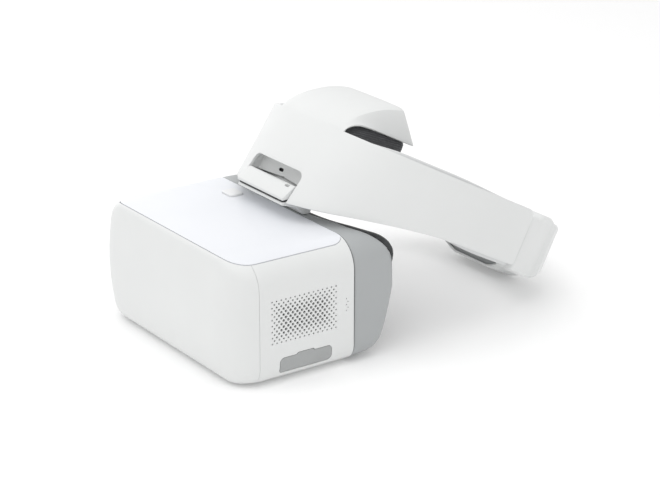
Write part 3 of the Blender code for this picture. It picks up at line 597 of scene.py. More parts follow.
def block(name, low, high):
    """A cutting tool between two corners of the visor's frame."""
    bm = bmesh.new()
    size = [b - a for a, b in zip(low, high)]
    centre = [(a + b) / 2 for a, b in zip(low, high)]
    bmesh.ops.create_cube(bm, size=1.0, matrix=at_visor(*centre) @ Matrix.Diagonal((*size, 1)))
    return made(name, bm, None)


def side_window(grow, y0, y1, z0, z1, radius, side=1):
    """A rounded window through one side of the visor."""
    outline = rounded(y0 - grow, z0 - grow, y1 + grow, z1 + grow, radius + grow)
    return slab("window", outline, 30.0, at_visor(side * 95, 0, 0, ON_SIDE))


def port_outline(grow):
    """The port flap: a rounded bar with a low grip in the middle of its top edge."""
    lower = [*arc(42.4, 11.6, 2.6 + grow, 180, 270, 4), *arc(81, 12.6, 3.6 + grow, 270, 360, 4)]
    upper = [*arc(81.4, 17.2, 3.2 + grow, 0, 90, 4), (69.6 + grow, 20.4 + grow), (68.4 + grow, 21.7 + grow),
             (55.8 - grow, 21.7 + grow), (54.2 - grow, 20.4 + grow), *arc(43.4, 16.9, 3.5 + grow, 90, 180, 4)]
    return lower + upper


BUTTON_X, BUTTON_Y = -42.0, 90.0
GAP_LINE = 0.8


def button_outline(grow):
    """The release button's rounded outline about its own centre."""
    return rounded(-7.5 - grow, -6.0 - grow, 7.5 + grow, 6.0 + grow, 3.2 + grow)


# %% Cut the covers
top = carved(copy_of(body, "panel_top"), slab("keep", panel_outline(-GAP_LINE / 2), 24.0, at_visor(0, 0, 94)),
             "INTERSECT")
top.data.materials.clear()
top.data.materials.append(PANEL_WHITE)
carved(top, slab("hole", button_outline(0.45), 20.0, at_visor(BUTTON_X, BUTTON_Y, 94)))
carved(body, slab("hole", panel_outline(GAP_LINE / 2), 24.0, at_visor(0, 0, 94)))

front = carved(copy_of(body, "cover_front"), block("keep", (-120, -20, -20), (120, PART_Y - 0.12, 120)),
               "INTERSECT")
carved(body, block("rest", (-120, -20, -20), (120, PART_Y + 0.12, 120)))
under = carved(copy_of(body, "cover_under"), block("keep", (-69.9, 0, -20), (69.9, 130, 40)), "INTERSECT")
right = carved(copy_of(body, "cover_right"), block("keep", (-120, 0, -20), (-70.1, 130, 120)), "INTERSECT")
left = carved(body, block("keep", (70.1, 0, -20), (120, 130, 120)), "INTERSECT")
left.name = "cover_left"
print("covers:", [len(obj.data.polygons) for obj in (top, front, left, right, under)])

# %% [markdown]
# ### Grille, touch pad and port flap
# The grille is a moulded insert with a staggered lattice of holes that shrink towards its
# border. All the holes are cut by one tool: an eight-sided pin is copied to every lattice
# point first, because one cut with many pins is far quicker than many cuts.

# %% Inserts in the sides
def pins(centres, place):
    """One cutting tool from many eight-sided pins: centres are (y, z, radius)."""
    bm = bmesh.new()
    for y, z, radius in centres:
        bmesh.ops.create_cone(bm, cap_ends=True, segments=8, radius1=radius, radius2=radius, depth=12.0,
                              matrix=place @ Matrix.Translation((y, z, 0)))
    return made("pins", bm, None)


HOLE_PITCH_Y, HOLE_PITCH_Z = 3.95, 4.6
lattice = []
for row in range(15):
    for column in range(15 - row % 2):
        y = 33.3 + (column + 0.5 * (row % 2)) * HOLE_PITCH_Y
        z = 33.3 + row * HOLE_PITCH_Z / 2
        edge = min(1.0, min(y - 29, 93 - y, (z - 29.5) * 1.2, (69.5 - z) * 1.2) / 15)
        lattice.append((y, z, 0.5 + 0.68 * edge))
mic = [(97.8 + 1.4 * (k % 2), 44.2 + 2.3 * k, 0.5) for k in range(5)]

grille = carved(copy_of(left, "grille_panel"), side_window(0.0, 29.5, 92.5, 30.0, 69.0, 5.0), "INTERSECT")
carved(grille, pins(lattice, at_visor(96, 0, 0, ON_SIDE)))
carved(left, side_window(0.0, 29.5, 92.5, 30.0, 69.0, 5.0))
carved(left, pins(mic, at_visor(96, 0, 0, ON_SIDE)))
flap = carved(copy_of(left, "port_flap"), slab("keep", port_outline(0.0), 40.0, at_visor(88, 0, 0, ON_SIDE)),
              "INTERSECT")
flap.data.materials.clear()
flap.data.materials.append(PORT_RUBBER)
carved(left, slab("hole", port_outline(0.4), 40.0, at_visor(88, 0, 0, ON_SIDE)))
touch = carved(copy_of(right, "touch_surface"), side_window(-0.4, 33.5, 91.5, 29.5, 76.5, 6.0, -1), "INTERSECT")
carved(right, side_window(0.0, 33.5, 91.5, 29.5, 76.5, 6.0, -1))
print("grille holes:", len(lattice), "faces:", len(grille.data.polygons))

fitted(top, "visor", "cool_white_panel", "top_panel")
for cover, node in ((front, "front_cover"), (left, "left_side_cover"), (right, "right_side_cover"),
                    (grille, "vent_grille"), (touch, "touch_pad")):
    fitted(cover, "visor", "white_shell", node)
fitted(flap, "port_cover", "grey_rubber", "port_cover")

# %% [markdown]
# ### What lies behind the gaps
# A gap line looks grey and not black because a second wall lies close behind it. That
# wall is coloured dark grey as painted shade for the gaps. This inner wall is the same skin,
# shrunk by the covers' thickness, with windows where air and plugs pass.

# %% Inner wall
# The inner wall's dark grey is painted shade for the gap lines.
chassis = walled(made("inner_wall", visor_skin(WALL + 0.9, 107.5), GAP_SHADE_GREY), 1.0)
settled(chassis)
carved(chassis, side_window(0.0, 31, 91, 31.5, 67.5, 4.0))
carved(chassis, side_window(0.0, 43, 82, 10.5, 19, 3.0))
carved(chassis, slab("hole", button_outline(1.0), 20.0, at_visor(BUTTON_X, BUTTON_Y, 92)))
for hole_x, hole_y, radius in ((0, 76, 12.5), (26, 36, 5.0), (40, 36, 5.0), (54, 36, 5.0)):
    carved(chassis, cylinder("hole", radius, 30, at_visor(hole_x, hole_y, 0)))
    carved(under, cylinder("hole", radius - 0.6, 30, at_visor(hole_x, hole_y, 0)))
fitted(under, "visor", "white_shell", "bottom_cover")
fitted(chassis, "visor", "white_shell")

screen = prism(rounded(30.5, 31.0, 91.5, 68.0, 4.0), 0.5, at_visor(92.6, 0, 0, ON_SIDE))
fitted(made("dust_screen", screen, BLACK), "visor", "black_plastic")

# %% [markdown]
# ### Release button and feet
# The button is a shallow cap with a soft crown, so its top catches the light as one
# patch. The feet are rubber strips with rounded ends.

# %% Button and feet
button = prism(button_outline(0.0), 5.0, at_visor(BUTTON_X, BUTTON_Y, 95.0))
button = softened(made("button_cap", button, BUTTON_WHITE), 0.9, 4)
fitted(button, "release_button", "white_shell", "release_button")
for foot, y, x0, x1 in (("front_foot", 32.0, -60, 12), ("rear_foot", 98.0, -50, 50)):
    strip = prism(rounded(x0, -3.0, x1, 3.0, 2.95, 8), 1.2, at_visor(0, y, 0.6))
    strip = softened(made(foot + "_strip", strip, PORT_RUBBER), 0.35, 2)
    fitted(strip, "visor", "grey_rubber", foot)

# %% [markdown]
# ## Face frame
# The grey rear shell continues the visor's outline past the seam: shallow at the brow
# and nose, deep at the temples. Its rear edge rolls inwards to hold the foam. It is one
# closed band of grid, walled afterwards.

# %% Grey frame
SIDE_DEPTH, LOW_DEPTH, BROW_DEPTH, NOSE_RISE = 39.0, 27.0, 8.5, 13.0


def face_depth(x, z):
    """Depth of the frame behind the seam."""
    side = min(1.0, (abs(x) / 92.0) ** 2.2)
    height = (z - BOTTOM) / (TOP - BOTTOM)
    brow = BROW_DEPTH + (SIDE_DEPTH - BROW_DEPTH) * side
    low = 12.0 + (LOW_DEPTH - 12.0) * side
    swell = 0.72 + 0.28 * (1.0 - (2 * height - 1) ** 4)
    depth = low + (brow - low) * min(1.0, height * (1.0 + 0.9 * side))
    return depth * (1.0 + (swell - 1.0) * smooth((side - 0.25) / 0.3))


def temple_fade(x, z):
    """The foam is full at brow and nose and thin down the temples."""
    return 1.0 - 0.85 * smooth((abs(x) - 62.0) / 24.0) * (0.1 + 0.9 * smooth((91.0 - z) / 30.0))


def frame_line(inset, back, lip=0.0, rise=0.0):
    """One line round the frame: a share of its depth, a step past it and a rise that fades at the temples."""
    line = []
    for x, z in section(60.0, inset, 14, 9):
        nose = NOSE_RISE * math.exp(-(x / 17.0) ** 2) * smooth((45 - z) / 10)
        y = SEAM_Y + 0.35 + face_depth(x, z) * back + lip + rise * temple_fade(x, z)
        drawn_in = 3.4 * (1.0 - temple_fade(x, z)) if lip > 0 else 0.0
        line.append(visor(x - math.copysign(drawn_in, x), y, z + nose * back))
    return line


rolled = [(1.2, 0.012), (0.6, 0.025), (0.3, 0.08), (0.3, 0.3), (0.5, 0.55), (0.9, 0.72), (1.6, 0.82), (2.8, 0.9),
          (4.6, 0.955), (7.2, 0.99), (10.0, 1.0)]
frame_lines = [frame_line(inset, back) for inset, back in rolled] + [frame_line(15.0, 1.0, -2.0)]
frame_shell = walled(made("rear_shell", laid_grid(frame_lines), FRAME_GREY, 50), 1.8)
fitted(frame_shell, "visor", "grey_shell", "face_frame")

# %% [markdown]
# ## Filling pads by simulation
# A pad looks soft when its cover is under pressure from inside. The recipe: remesh the
# plain form evenly, blow it up with Blender's cloth, limit how far any point may go, and
# keep the side that is glued down where it is. One subdivision then smooths it.

# %% The pad recipe
def filled_out(obj, voxel, pressure, limit, free):
    """Inflates a closed form; free(point) says how much a point may move, 0 to 1."""
    worked(obj, "REMESH", mode="VOXEL", voxel_size=voxel * MM)
    settled(obj)
    start = [vert.co.copy() for vert in obj.data.vertices]
    cloth = worked(obj, "CLOTH")
    cloth.settings.use_pressure = True
    cloth.settings.uniform_pressure_force = pressure
    cloth.settings.quality = 4
    cloth.settings.tension_stiffness = 12
    cloth.settings.effector_weights.gravity = 0.0
    cloth.collision_settings.use_collision = False
    scene = bpy.context.scene
    for step in range(1, 15):
        scene.frame_set(step)
    settled(obj)
    scene.frame_set(1)
    for vert, origin in zip(obj.data.vertices, start):
        move = vert.co - origin
        reach = limit * MM * free(origin)
        vert.co = origin + (move if move.length <= reach else move.normalized() * reach)
    obj.data.update()
    worked(obj, "SMOOTH", factor=0.6, iterations=max(2, round(6 / voxel)))
    worked(obj, "SUBSURF", levels=1, render_levels=1)
    settled(obj, 180)
    return obj


# %% [markdown]
# ### Face foam
# The seal is a thick ring on the frame's rear edge. Its section is a soft D: flat where
# it is glued to the frame and round where the face presses. The far side of the ring is
# free to swell.

# %% Face foam
SEAT = 1.0
FOAM_SECTION = [(7.0, SEAT), (6.4, 5.0), (6.8, 9.5), (8.0, 13.2), (10.2, 15.0), (13.2, 14.6), (16.0, 12.0),
                (17.4, 7.5), (17.6, SEAT), (12.0, SEAT), (7.0, SEAT)]
foam_lines = [frame_line(inset, 1.0, SEAT, height - SEAT) for inset, height in FOAM_SECTION]
foam = made("foam_seal", laid_grid(foam_lines), FOAM, 60)


def foam_free(point):
    """The glued side stays; the face side may swell."""
    x, y, z = from_visor(point)
    return smooth((y - SEAM_Y - 0.35 - face_depth(x, z) - 3.0) / 8.0)


filled_out(foam, 1.3, 3.0, 1.6, foam_free)
fitted(foam, "visor", "dark_foam", "face_foam")
print("foam faces:", len(foam.data.polygons))

# %% [markdown]
# ## Hinge on top of the visor
# The headband hangs from a block on a swan-necked mount. Side profiles like these are
# drawn as an outline, pulled across the width, and given generous round edges, because
# on a white part it is the edges that make the form readable.

# %% Mount, latch plate and block
BLOCK_HALF = 30.5
neck = [(106.2, 96.35), (112.6, 96.35), *arc(111.5, 101.0, 3.0, -20, 30, 3), (113.5, 109.4), (87.6, 109.4),
        (87.2, 107.2), (92.5, 105.8), (98.5, 103.4), (102.0, 101.2), (104.6, 98.8)]
mount = made("neck_mount", prism(neck, 2 * BLOCK_HALF - 1.0, at_visor(0, 0, 0, ON_SIDE)), SHELL_WHITE)
fitted(softened(mount, 0.8, 3), "visor", "white_shell", "hinge_mount")

latch = prism(rounded(-29.6, -7.6, 29.6, 7.6, 2.0), 1.2, at_visor(0, 95.6, 110.25))
fitted(softened(made("latch_strip", latch, BLACK), 0.2, 2), "visor", "black_plastic", "latch_plate")

cheek = [(87.2, 111.1), *arc(88.5, 112.5, 1.3, 200, 118, 4), *arc(98.6, 117.0, 3.0, 118, 20, 6), (102.4, 115.6),
         (102.4, 112.2), (101.4, 111.1)]
hinge_block = made("hinge_body", prism(cheek, 2 * BLOCK_HALF, at_visor(0, 0, 0, ON_SIDE)), SHELL_WHITE)
softened(hinge_block, 1.1, 4, 40)
settled(hinge_block)
pin_access = prism(rounded(-2.6, -1.2, 2.6, 1.2, 1.15), 8.0, at_visor(23.0, 97.0, 118.0))
carved(hinge_block, made("hole", pin_access, None))
fitted(hinge_block, "visor", "white_shell", "hinge_block")

# %% [markdown]
# ## Headband
# Seen from above the band is half an ellipse at the front and a flatter curve round the
# back. The front plate leans back and runs on, without a join, into a cap over the crown.
# Side flaps of the cap turn down and leave a long slot above each arm.

# %% Band surface
BAND_HALF, MID_V, FRONT_REACH, REAR_REACH, REAR_POWER = 102.5, 90.0, 121.0, 135.0, 3.0
BAND_TOP, BAND_LOW, BAND_RISE = 57.0, -10.0, 22.0
LEAN = math.tan(math.radians(15.5))
ARM_END = 149.0
SKIN = 2.6
CAP_TURN, FLAP_TURN = 20.6, 23.2


def front_plan(turn, inset=0.0):
    """The band from above, turn in degrees from the middle of the front."""
    angle = math.radians(turn)
    return (BAND_HALF - inset) * math.sin(angle), MID_V - (FRONT_REACH - inset) * math.cos(angle)


def lean(turn, w):
    """How far the front plate leans back at a height."""
    return LEAN * (w - BAND_LOW) * max(0.0, math.cos(math.radians(turn))) ** 3.5


def low_edge(turn):
    """Height of the band's lower edge."""
    return BAND_LOW + BAND_RISE * math.sin(math.radians(min(abs(turn), 90.0))) ** 2


def arm_x(v, inset=0.0):
    """Half width of the arms behind the widest point."""
    share = (max(v - MID_V, 0.0) / (REAR_REACH - inset)) ** REAR_POWER
    return (BAND_HALF - inset) * max(1.0 - share, 0.0) ** (1 / REAR_POWER)


FRONT_TURNS = ([CAP_TURN * k / 12 for k in range(13)] + spaced(CAP_TURN, FLAP_TURN, 8)[1:]
               + spaced(FLAP_TURN, 90.0, 26)[1:])


def stations(inset, end):
    """(turn, x, v) from the left arm's end round the front to the right arm's end."""
    far = [MID_V + (end - MID_V) * share for share in (*spaced(0.0, 0.85, 9), 0.9, 0.93, 0.96, 0.98, 0.993, 1.0)]
    half = [(90.0, arm_x(v, inset), v) for v in reversed(far[1:])]
    half += [(turn, *front_plan(turn, inset)) for turn in reversed(FRONT_TURNS)]
    return half + [(-turn, -x, v) for turn, x, v in reversed(half[:-1])]


def arm_limits(turn, v, low, top):
    """The arm's ends have a round upper and a smaller lower corner."""
    up = pulled_in(max(0.0, ARM_END - v), 7.0)
    down = pulled_in(max(0.0, ARM_END - v), 3.0)
    return low + down, top - up


# %% [markdown]
# ### One sheet for plate, arms and cap
# Two grids share their edge where the cap grows out of the plate. The cap's centre line
# is a smooth cubic curve; across it, the sheet is nearly flat and then turns down into
# the flaps.

# %% Shell surface
def cubic(share, points):
    """A point of a cubic curve from its four control points."""
    rest = 1.0 - share
    weights = (rest ** 3, 3 * rest ** 2 * share, 3 * rest * share ** 2, share ** 3)
    return tuple(sum(weight * point[k] for weight, point in zip(weights, points)) for k in range(2))


CAP_CURVE = [(-12.42, 57.0), (-10.0, 63.5), (11.5, 84.5), (40.5, 89.6)]
CAP_TOP_SHARE = 0.62
CAP_HALF = ([k / 12 * CAP_TOP_SHARE for k in range(13)]
            + [CAP_TOP_SHARE + (1 - CAP_TOP_SHARE) * k / 8 for k in range(1, 9)])
CAP_ACROSS = [-across for across in reversed(CAP_HALF[1:])] + CAP_HALF


def cap_point(across, along, under=0.0):
    """A point of the cap: across -1..1, along 0..1 to the rear, under moves it inwards."""
    v, w = cubic(along, CAP_CURVE)
    side = abs(across)
    turn = (CAP_TURN * min(1.0, side / CAP_TOP_SHARE)
            + (FLAP_TURN - CAP_TURN) * max(0.0, (side - CAP_TOP_SHARE) / (1 - CAP_TOP_SHARE)))
    grown = min(1.0, 4 * along)
    drop = max(0.0, (side - 0.55) / 0.45) ** 1.5
    x = BAND_HALF * math.sin(math.radians(turn)) * (1.0 + 0.04 * grown)
    root_v = front_plan(turn)[1] + lean(turn, BAND_TOP) - front_plan(0.0)[1] - lean(0.0, BAND_TOP)
    low = BAND_TOP + 9.7 * (1.0 - (1.0 - min(1.0, along / 0.36)) ** 2)
    crown = w + grown * (0.6 - 1.4 * side ** 2)
    height = crown + (low - crown) * drop
    place = v + root_v * (1.0 - along) ** 2 + drop * (2.0 * grown + 17.5 * along)
    return math.copysign(max(0.0, x - under * smooth(side / 0.6)), across), place + under * 0.5, height - under


def plate_rows():
    """Plate and arms: rows run from the lower to the upper edge."""
    rows = []
    for share in (*spaced(0.0, 0.9, 12), 0.94, 0.97, 1.0):
        row = []
        for turn, x, v in stations(0.0, ARM_END):
            low, top = arm_limits(turn, v, low_edge(turn), BAND_TOP)
            w = low + (top - low) * share
            row.append(band(x, v + lean(turn, w), w))
        rows.append(row)
    return rows


def cap_rows(under=0.0, first=0.0, last=1.0, steps=26):
    """The cap: rows run across it, from the plate's edge to the rear."""
    return [[band(*cap_point(a, first + (last - first) * k / steps, under)) for a in CAP_ACROSS]
            for k in range(steps + 1)]


sheet = laid_grid(plate_rows())
cap = bpy.data.meshes.new("cap")
cap_grid = laid_grid(cap_rows())
cap_grid.to_mesh(cap)
cap_grid.free()
sheet.from_mesh(cap)
bpy.data.meshes.remove(cap)
bmesh.ops.remove_doubles(sheet, verts=sheet.verts, dist=0.00012)
shell = walled(made("band_shell", sheet, SHELL_WHITE, 50), SKIN)
settled(shell, 50)
print("band shell faces:", len(shell.data.polygons))

# %% [markdown]
# ### Notch and pocket
# A notch with round corners lets the hinge block sit inside the plate. Behind it a
# shallow moulded pocket closes the band, with a small slot for the latch darkened by a
# black plate behind it, painted shade.

# %% Notch, pocket and lugs
NOTCH_HALF, NOTCH_TOP = 31.6, 17.5
notch = [(-NOTCH_HALF, -30.0), (NOTCH_HALF, -30.0), *arc(NOTCH_HALF - 6, NOTCH_TOP - 6, 6.0, 0, 90, 8),
         *arc(6 - NOTCH_HALF, NOTCH_TOP - 6, 6.0, 90, 180, 8)]
carved(shell, slab("notch", notch, 34.0, at_band(0, -24.0, 0, FACING_FRONT)))
softened(shell, 0.5, 2, 50)
settled(shell, 35)
fitted(shell, "headband", "white_shell", "headband_shell")

POCKET_BACK = -11.0
pocket_line = [(-NOTCH_HALF - 0.6, 6.0), (-NOTCH_HALF - 0.6, NOTCH_TOP - 6),
               *arc(5.4 - NOTCH_HALF, NOTCH_TOP - 5.4, 6.0, 180, 90, 8),
               *arc(NOTCH_HALF - 5.4, NOTCH_TOP - 5.4, 6.0, 90, 0, 8), (NOTCH_HALF + 0.6, NOTCH_TOP - 6),
               (NOTCH_HALF + 0.6, 6.0)]


def pocket_row(share):
    """One line of the pocket, from its mouth to its back, drawn in towards the middle."""
    row = []
    for x, w in pocket_line:
        turn = math.degrees(math.asin(min(1.0, abs(x) / BAND_HALF)))
        mouth = front_plan(turn, SKIN)[1] + lean(turn, w) - 0.2
        depth = min(1.0, share / 0.55)
        close = smooth((share - 0.45) / 0.55)
        v = mouth + (POCKET_BACK - mouth) * math.sin(depth * math.pi / 2)
        row.append(band(x * (1 - close * 0.98), v, w + (8.0 - w) * close * 0.98))
    return row


pocket = walled(made("hinge_pocket", laid_grid([pocket_row(s) for s in spaced(0.0, 1.0, 16)]), SHELL_WHITE, 60),
                1.2, 1.0)
settled(pocket)
latch_slot = rounded(-3.0, -1.3, 3.0, 1.3, 1.25)
carved(pocket, slab("slot", latch_slot, 8.0, at_band(-6.0, POCKET_BACK, 12.2, FACING_FRONT)))
fitted(pocket, "headband", "white_shell")
# A black plate behind the slot: painted shade that darkens the recess.
slot_shade_plate = prism(rounded(-5.5, -4.6, 5.5, 4.6, 3.0), 0.8, at_band(-6.0, POCKET_BACK + 2.2, 12.2, FACING_FRONT))
fitted(made("latch_slot_painted_shade", slot_shade_plate, BLACK), "headband", "black_plastic")

# %% [markdown]
# ### Inner band
# A second moulding closes the inside of the band. Its upper rim stands a little above
# the shell along the arms, which draws the fine double line along their top edge.

# %% Inner band
LINER_HALF, LINER_FRONT = 88.7, 103.0


def liner_plan(turn, v, extra=0.0):
    """The inner wall's plan: an ellipse in front, straight along the arms."""
    if abs(turn) == 90.0:
        return math.copysign(LINER_HALF - extra, turn), v
    angle = math.radians(turn)
    return (LINER_HALF - extra) * math.sin(angle), MID_V - (LINER_FRONT - extra) * math.cos(angle)


def liner_column(turn, x, v):
    """The section of the inner band at one station, from the shell's top edge to its bottom."""
    stand = 2.4 * smooth((abs(turn) - 34) / 20) * (1.0 - smooth((v - 60) / 75))
    hang = 3.2 * smooth((v - 60) / 50)
    low, top = arm_limits(turn, v + 3.0, low_edge(turn) + 1.0 - hang, BAND_TOP - 0.8 + stand)
    top -= 2.0 * (1.0 - smooth((abs(turn) - 24) / 6))
    lx, lv = liner_plan(turn, v)
    sx, sv = x, v
    mid = (low + top) / 2
    tuck = 8.0 * (1.0 - smooth((abs(turn) - 28) / 32))

    def at(share, w):
        return band(sx + (lx - sx) * share, sv + (lv - sv) * share + lean(turn, w), w)

    return [at(0.0, mid), at(0.0, top - 1.5), at(0.04, top - 0.4), at(0.12, top), at(0.5, top), at(0.9, top),
            at(1.0, top - 1.2), at(1.0, mid + 8), at(1.0, mid - 4), at(1.0, low + 1.2 + tuck), at(0.9, low + tuck),
            at(0.5, low + 0.6 * tuck), at(0.12, low + 0.1 * tuck), at(0.04, low + 0.4), at(0.0, low + 1.5),
            at(0.0, mid)]


columns = [liner_column(*station) for station in stations(SKIN + 1.0, ARM_END - 3.0)]
liner = made("inner_band", laid_grid([list(row) for row in zip(*columns)]), INNER_WHITE, 40)
walled(liner, 1.1, 0.0)
settled(liner)
carved(liner, slab("notch", notch, 34.0, at_band(0, -26.0, 0, FACING_FRONT)))


def visor_room():
    """A tool that keeps the band's inside clear of the hinge mount."""
    return block("visor_room", (-NOTCH_HALF, 80, 81.6), (NOTCH_HALF, 140, 111.6))


carved(liner, visor_room())
fitted(liner, "headband", "grey_shell", "headband_liner")
print("inner band faces:", len(liner.data.polygons))

# %% [markdown]
# ## Head pads
# Three pads line the band: a curved one for the forehead, a short one on each arm, and
# the thin lining of the cap, which shows dark through the slots. Each starts as a closed
# grid tube with a soft rectangular section.

# %% Pad tube
PAD_SECTION = [(0.0, 0.06), (0.0, 0.5), (0.0, 0.94), (0.25, 1.0), (0.6, 0.99), (0.88, 0.93), (1.0, 0.8), (1.0, 0.5),
               (1.0, 0.2), (0.88, 0.07), (0.6, 0.01), (0.25, 0.0), (0.0, 0.06)]


def pad_tube(name, line, thickness):
    """A pad along a line of (x, v, inward x, inward v, low, top, lean) with rounded ends."""
    rows = []
    last = len(line) - 1
    for index, (x, v, nx, nv, low, top, tilt) in enumerate(line):
        end = min(index, last - index)
        fullness = (0.02, 0.55, 0.85, 1.0)[min(end, 3)]
        mid, half = (low + top) / 2, (top - low) / 2
        row = []
        for depth, height in PAD_SECTION:
            reach = depth * thickness * (0.35 + 0.65 * fullness)
            w = mid + (2 * height - 1) * half * (0.5 + 0.5 * fullness) * (1.0 if fullness > 0.1 else 0.9)
            squeeze = thickness * 0.5 if end == 0 else reach
            row.append(band(x + nx * squeeze, v + nv * squeeze + tilt(w), w))
        rows.append(row)
    return made(name, laid_grid(rows), KNIT, 180)


def capped(obj):
    """Closes the two open ends of a pad tube."""
    bm = bmesh.new()
    bm.from_mesh(obj.data)
    bmesh.ops.holes_fill(bm, edges=[edge for edge in bm.edges if edge.is_boundary])
    bmesh.ops.recalc_face_normals(bm, faces=bm.faces)
    bm.to_mesh(obj.data)
    bm.free()
    obj.data.shade_smooth()
    return obj


def away_from(plan_half, plan_front, thickness):
    """How free a pad point is: none at the band's wall, all at the wearer's side."""
    def free(point):
        x, v, w = from_band(point)
        if v > MID_V:
            return smooth((plan_half - abs(x)) / thickness)
        turn = math.degrees(math.atan2(abs(x) / plan_half, max(0.001, (MID_V - v) / plan_front)))
        reach = math.hypot(x / plan_half, (MID_V - v + lean(turn, w)) / plan_front)
        return smooth((1.0 - reach) * plan_half / thickness)
    return free


# %% Forehead and side pads
PAD_GAP = 1.6
line = []
for turn in spaced(-64.0, 64.0, 32):
    x, v = liner_plan(turn, 0.0, PAD_GAP)
    angle = math.radians(turn)
    line.append((x, v, -math.sin(angle), math.cos(angle), low_edge(turn) + 5.0, 52.0,
                 lambda w, turn=turn: lean(turn, w)))
forehead = capped(pad_tube("forehead_cushion", line, 9.4))
filled_out(forehead, 2.8, 3.0, 2.2, away_from(LINER_HALF, LINER_FRONT, 7.0))
carved(forehead, visor_room())
fitted(forehead, "headband", "pad_fabric", "forehead_pad")

for side, word in ((1, "left"), (-1, "right")):
    line = [(side * (LINER_HALF - PAD_GAP), v, -side, 0.0, 20.0, 50.0, lambda w: 0.0)
            for v in spaced(88.0, 136.0, 14)]
    strip = capped(pad_tube("side_cushion_" + word, line, 5.0))
    filled_out(strip, 1.8, 2.0, 1.2, away_from(LINER_HALF, LINER_FRONT, 5.0))
    fitted(strip, "headband", "pad_fabric", "side_pad_" + word)

# %% [markdown]
# ### Crown lining
# The lining follows the cap's underside and hangs a little below the flaps, so the slot
# shows fabric and not daylight.

# %% Crown lining
CROWN_FIRST, CROWN_LAST = 0.05, 0.95


def lining_rows(under, steps=22):
    """Rows across the cap's underside, each with a short drop below the flap."""
    rows = []
    for k in range(steps + 1):
        along = CROWN_FIRST + (CROWN_LAST - CROWN_FIRST) * k / steps
        inner = [cap_point(a * 0.98, along, under) for a in CAP_ACROSS]
        floor_w = 55.5 - 4.5 * smooth((along - 0.2) / 0.25)
        first, last = inner[0], inner[-1]
        skirt = [(first[0], first[1], first[2] + (floor_w - first[2]) * s) for s in (1.0, 0.7, 0.35)]
        rows.append([band(*p) for p in skirt + inner + [(-x, v, w) for x, v, w in reversed(skirt)]])
    return rows


lining = walled(made("crown_lining", laid_grid(lining_rows(SKIN + 0.9)), KNIT, 60), 4.2)
settled(lining, 180)
filled_out(lining, 1.6, 1.0, 0.5, lambda point: 1.0)
fitted(lining, "headband", "pad_fabric", "crown_pad")

# %% [markdown]
# ## Rear housing
# The battery housing is a thick block at the back whose thinner cheeks slide inside the
# arms. The cover's section is a rounded channel; a soft step marks where cheek turns into
# block.

# %% Rear cover
CHEEK_TURN, CHEEK_DEPTH, HOUSING_DEPTH = 48.0, 12.0, 25.0
REAR_LOW = -0.4
REAR_END = 75.5


def rear_plan(turn, inset=0.0):
    """The rear of the band from above, turn in degrees from the middle of the back."""
    angle = math.radians(abs(turn))
    x = (BAND_HALF - inset) * math.sin(angle) ** (2 / REAR_POWER)
    return math.copysign(x, turn), MID_V + (REAR_REACH - inset) * math.cos(angle) ** (2 / REAR_POWER)


def cheek_share(turn):
    """0 over the block, 1 over the cheeks."""
    return min(1.0, max(0.0, (abs(turn) - CHEEK_TURN + 10.0) / 18.0))


def rear_low(x):
    """The lower edge dips in the middle, where the housing stands on the table."""
    return REAR_LOW + 7.0 * smooth((abs(x) - 24.0) / 30.0)


def block_rise(turn):
    """The block's corners are cut higher than the cheeks' lower edge."""
    rise = 3.6 * smooth((CHEEK_TURN + 3.0 - abs(turn)) / 3.0) + 4.0 * smooth((CHEEK_TURN - abs(turn)) / 12.0)
    return rise * smooth((abs(turn) - 16.0) / 14.0)


def housing_depth(turn):
    """Thickness of the housing: deep over the block, shallow over the cheeks."""
    return HOUSING_DEPTH + (CHEEK_DEPTH - HOUSING_DEPTH) * cheek_share(turn)


def tucked(v):
    """Shares of the two steps by which a cheek's end draws in to slide under the arm."""
    return smooth((170.0 - v) / 6.0), smooth((153.5 - v) / 3.0)


def rear_column(turn):
    """The cover's section at one station: top flange, outer wall, bottom flange."""
    step = smooth((abs(turn) - CHEEK_TURN - 1.5) / 2.5)
    proud = 2.8 * step
    depth = housing_depth(turn)
    x, v = rear_plan(turn, proud)
    tongue, hidden = tucked(v)
    proud += 1.6 * hidden
    low = rear_low(x) + block_rise(turn) - 0.6 * step + 1.5 * tongue + 6.0 * hidden
    top = 52.8 + 3.4 * step - 3.5 * tongue - 4.0 * hidden
    bend = 3.6
    corner = [(bend - bend * math.sin(a), bend - bend * math.cos(a)) for a in
              (math.radians(k * 15) for k in range(7))]
    line = [(depth, top), (depth * 0.6, top)]
    line += [(inward, top - down) for inward, down in corner]
    line += [(0.0, low + (top - low) * s) for s in (0.75, 0.5, 0.25)]
    line += [(inward, low + down) for inward, down in reversed(corner)]
    line += [(depth * 0.6, low), (depth, low)]
    return [band(*rear_plan(turn, proud + inward), w) for inward, w in line]


rear_half = (spaced(0.0, CHEEK_TURN - 6, 40) + spaced(CHEEK_TURN - 6, CHEEK_TURN + 4, 14)[1:]
             + spaced(CHEEK_TURN + 4, REAR_END, 60)[1:])
rear_turns = [-t for t in reversed(rear_half[1:])] + rear_half
rear = made("battery_cover", laid_grid([rear_column(turn) for turn in rear_turns]), SHELL_WHITE, 60)
walled(rear, 1.8)
settled(rear, 60)
for x, v, w, radius, turn in ((0, 225, 30, 3.2, FACING_FRONT), (-46, 203, 54.5, 4.5, UPRIGHT),
                              (46, 203, 54.5, 4.2, UPRIGHT)):
    carved(rear, cylinder("hole", radius, 16, at_band(x, v, w, turn), 32))
carved(rear, slab("light_slot", rounded(-8.3, -1.55, 8.3, 1.55, 1.4), 14.0, at_band(-28, 209, 54.5)))
softened(rear, 0.5, 2, 55)
settled(rear, 40)
fitted(rear, "rear_housing", "white_shell", "rear_cover")

# %% [markdown]
# ### Inner wall, rear pad and straps
# The inner wall closes the housing towards the head and carries the rear pad. The two
# straps that slide into the arms have rack teeth along one edge.

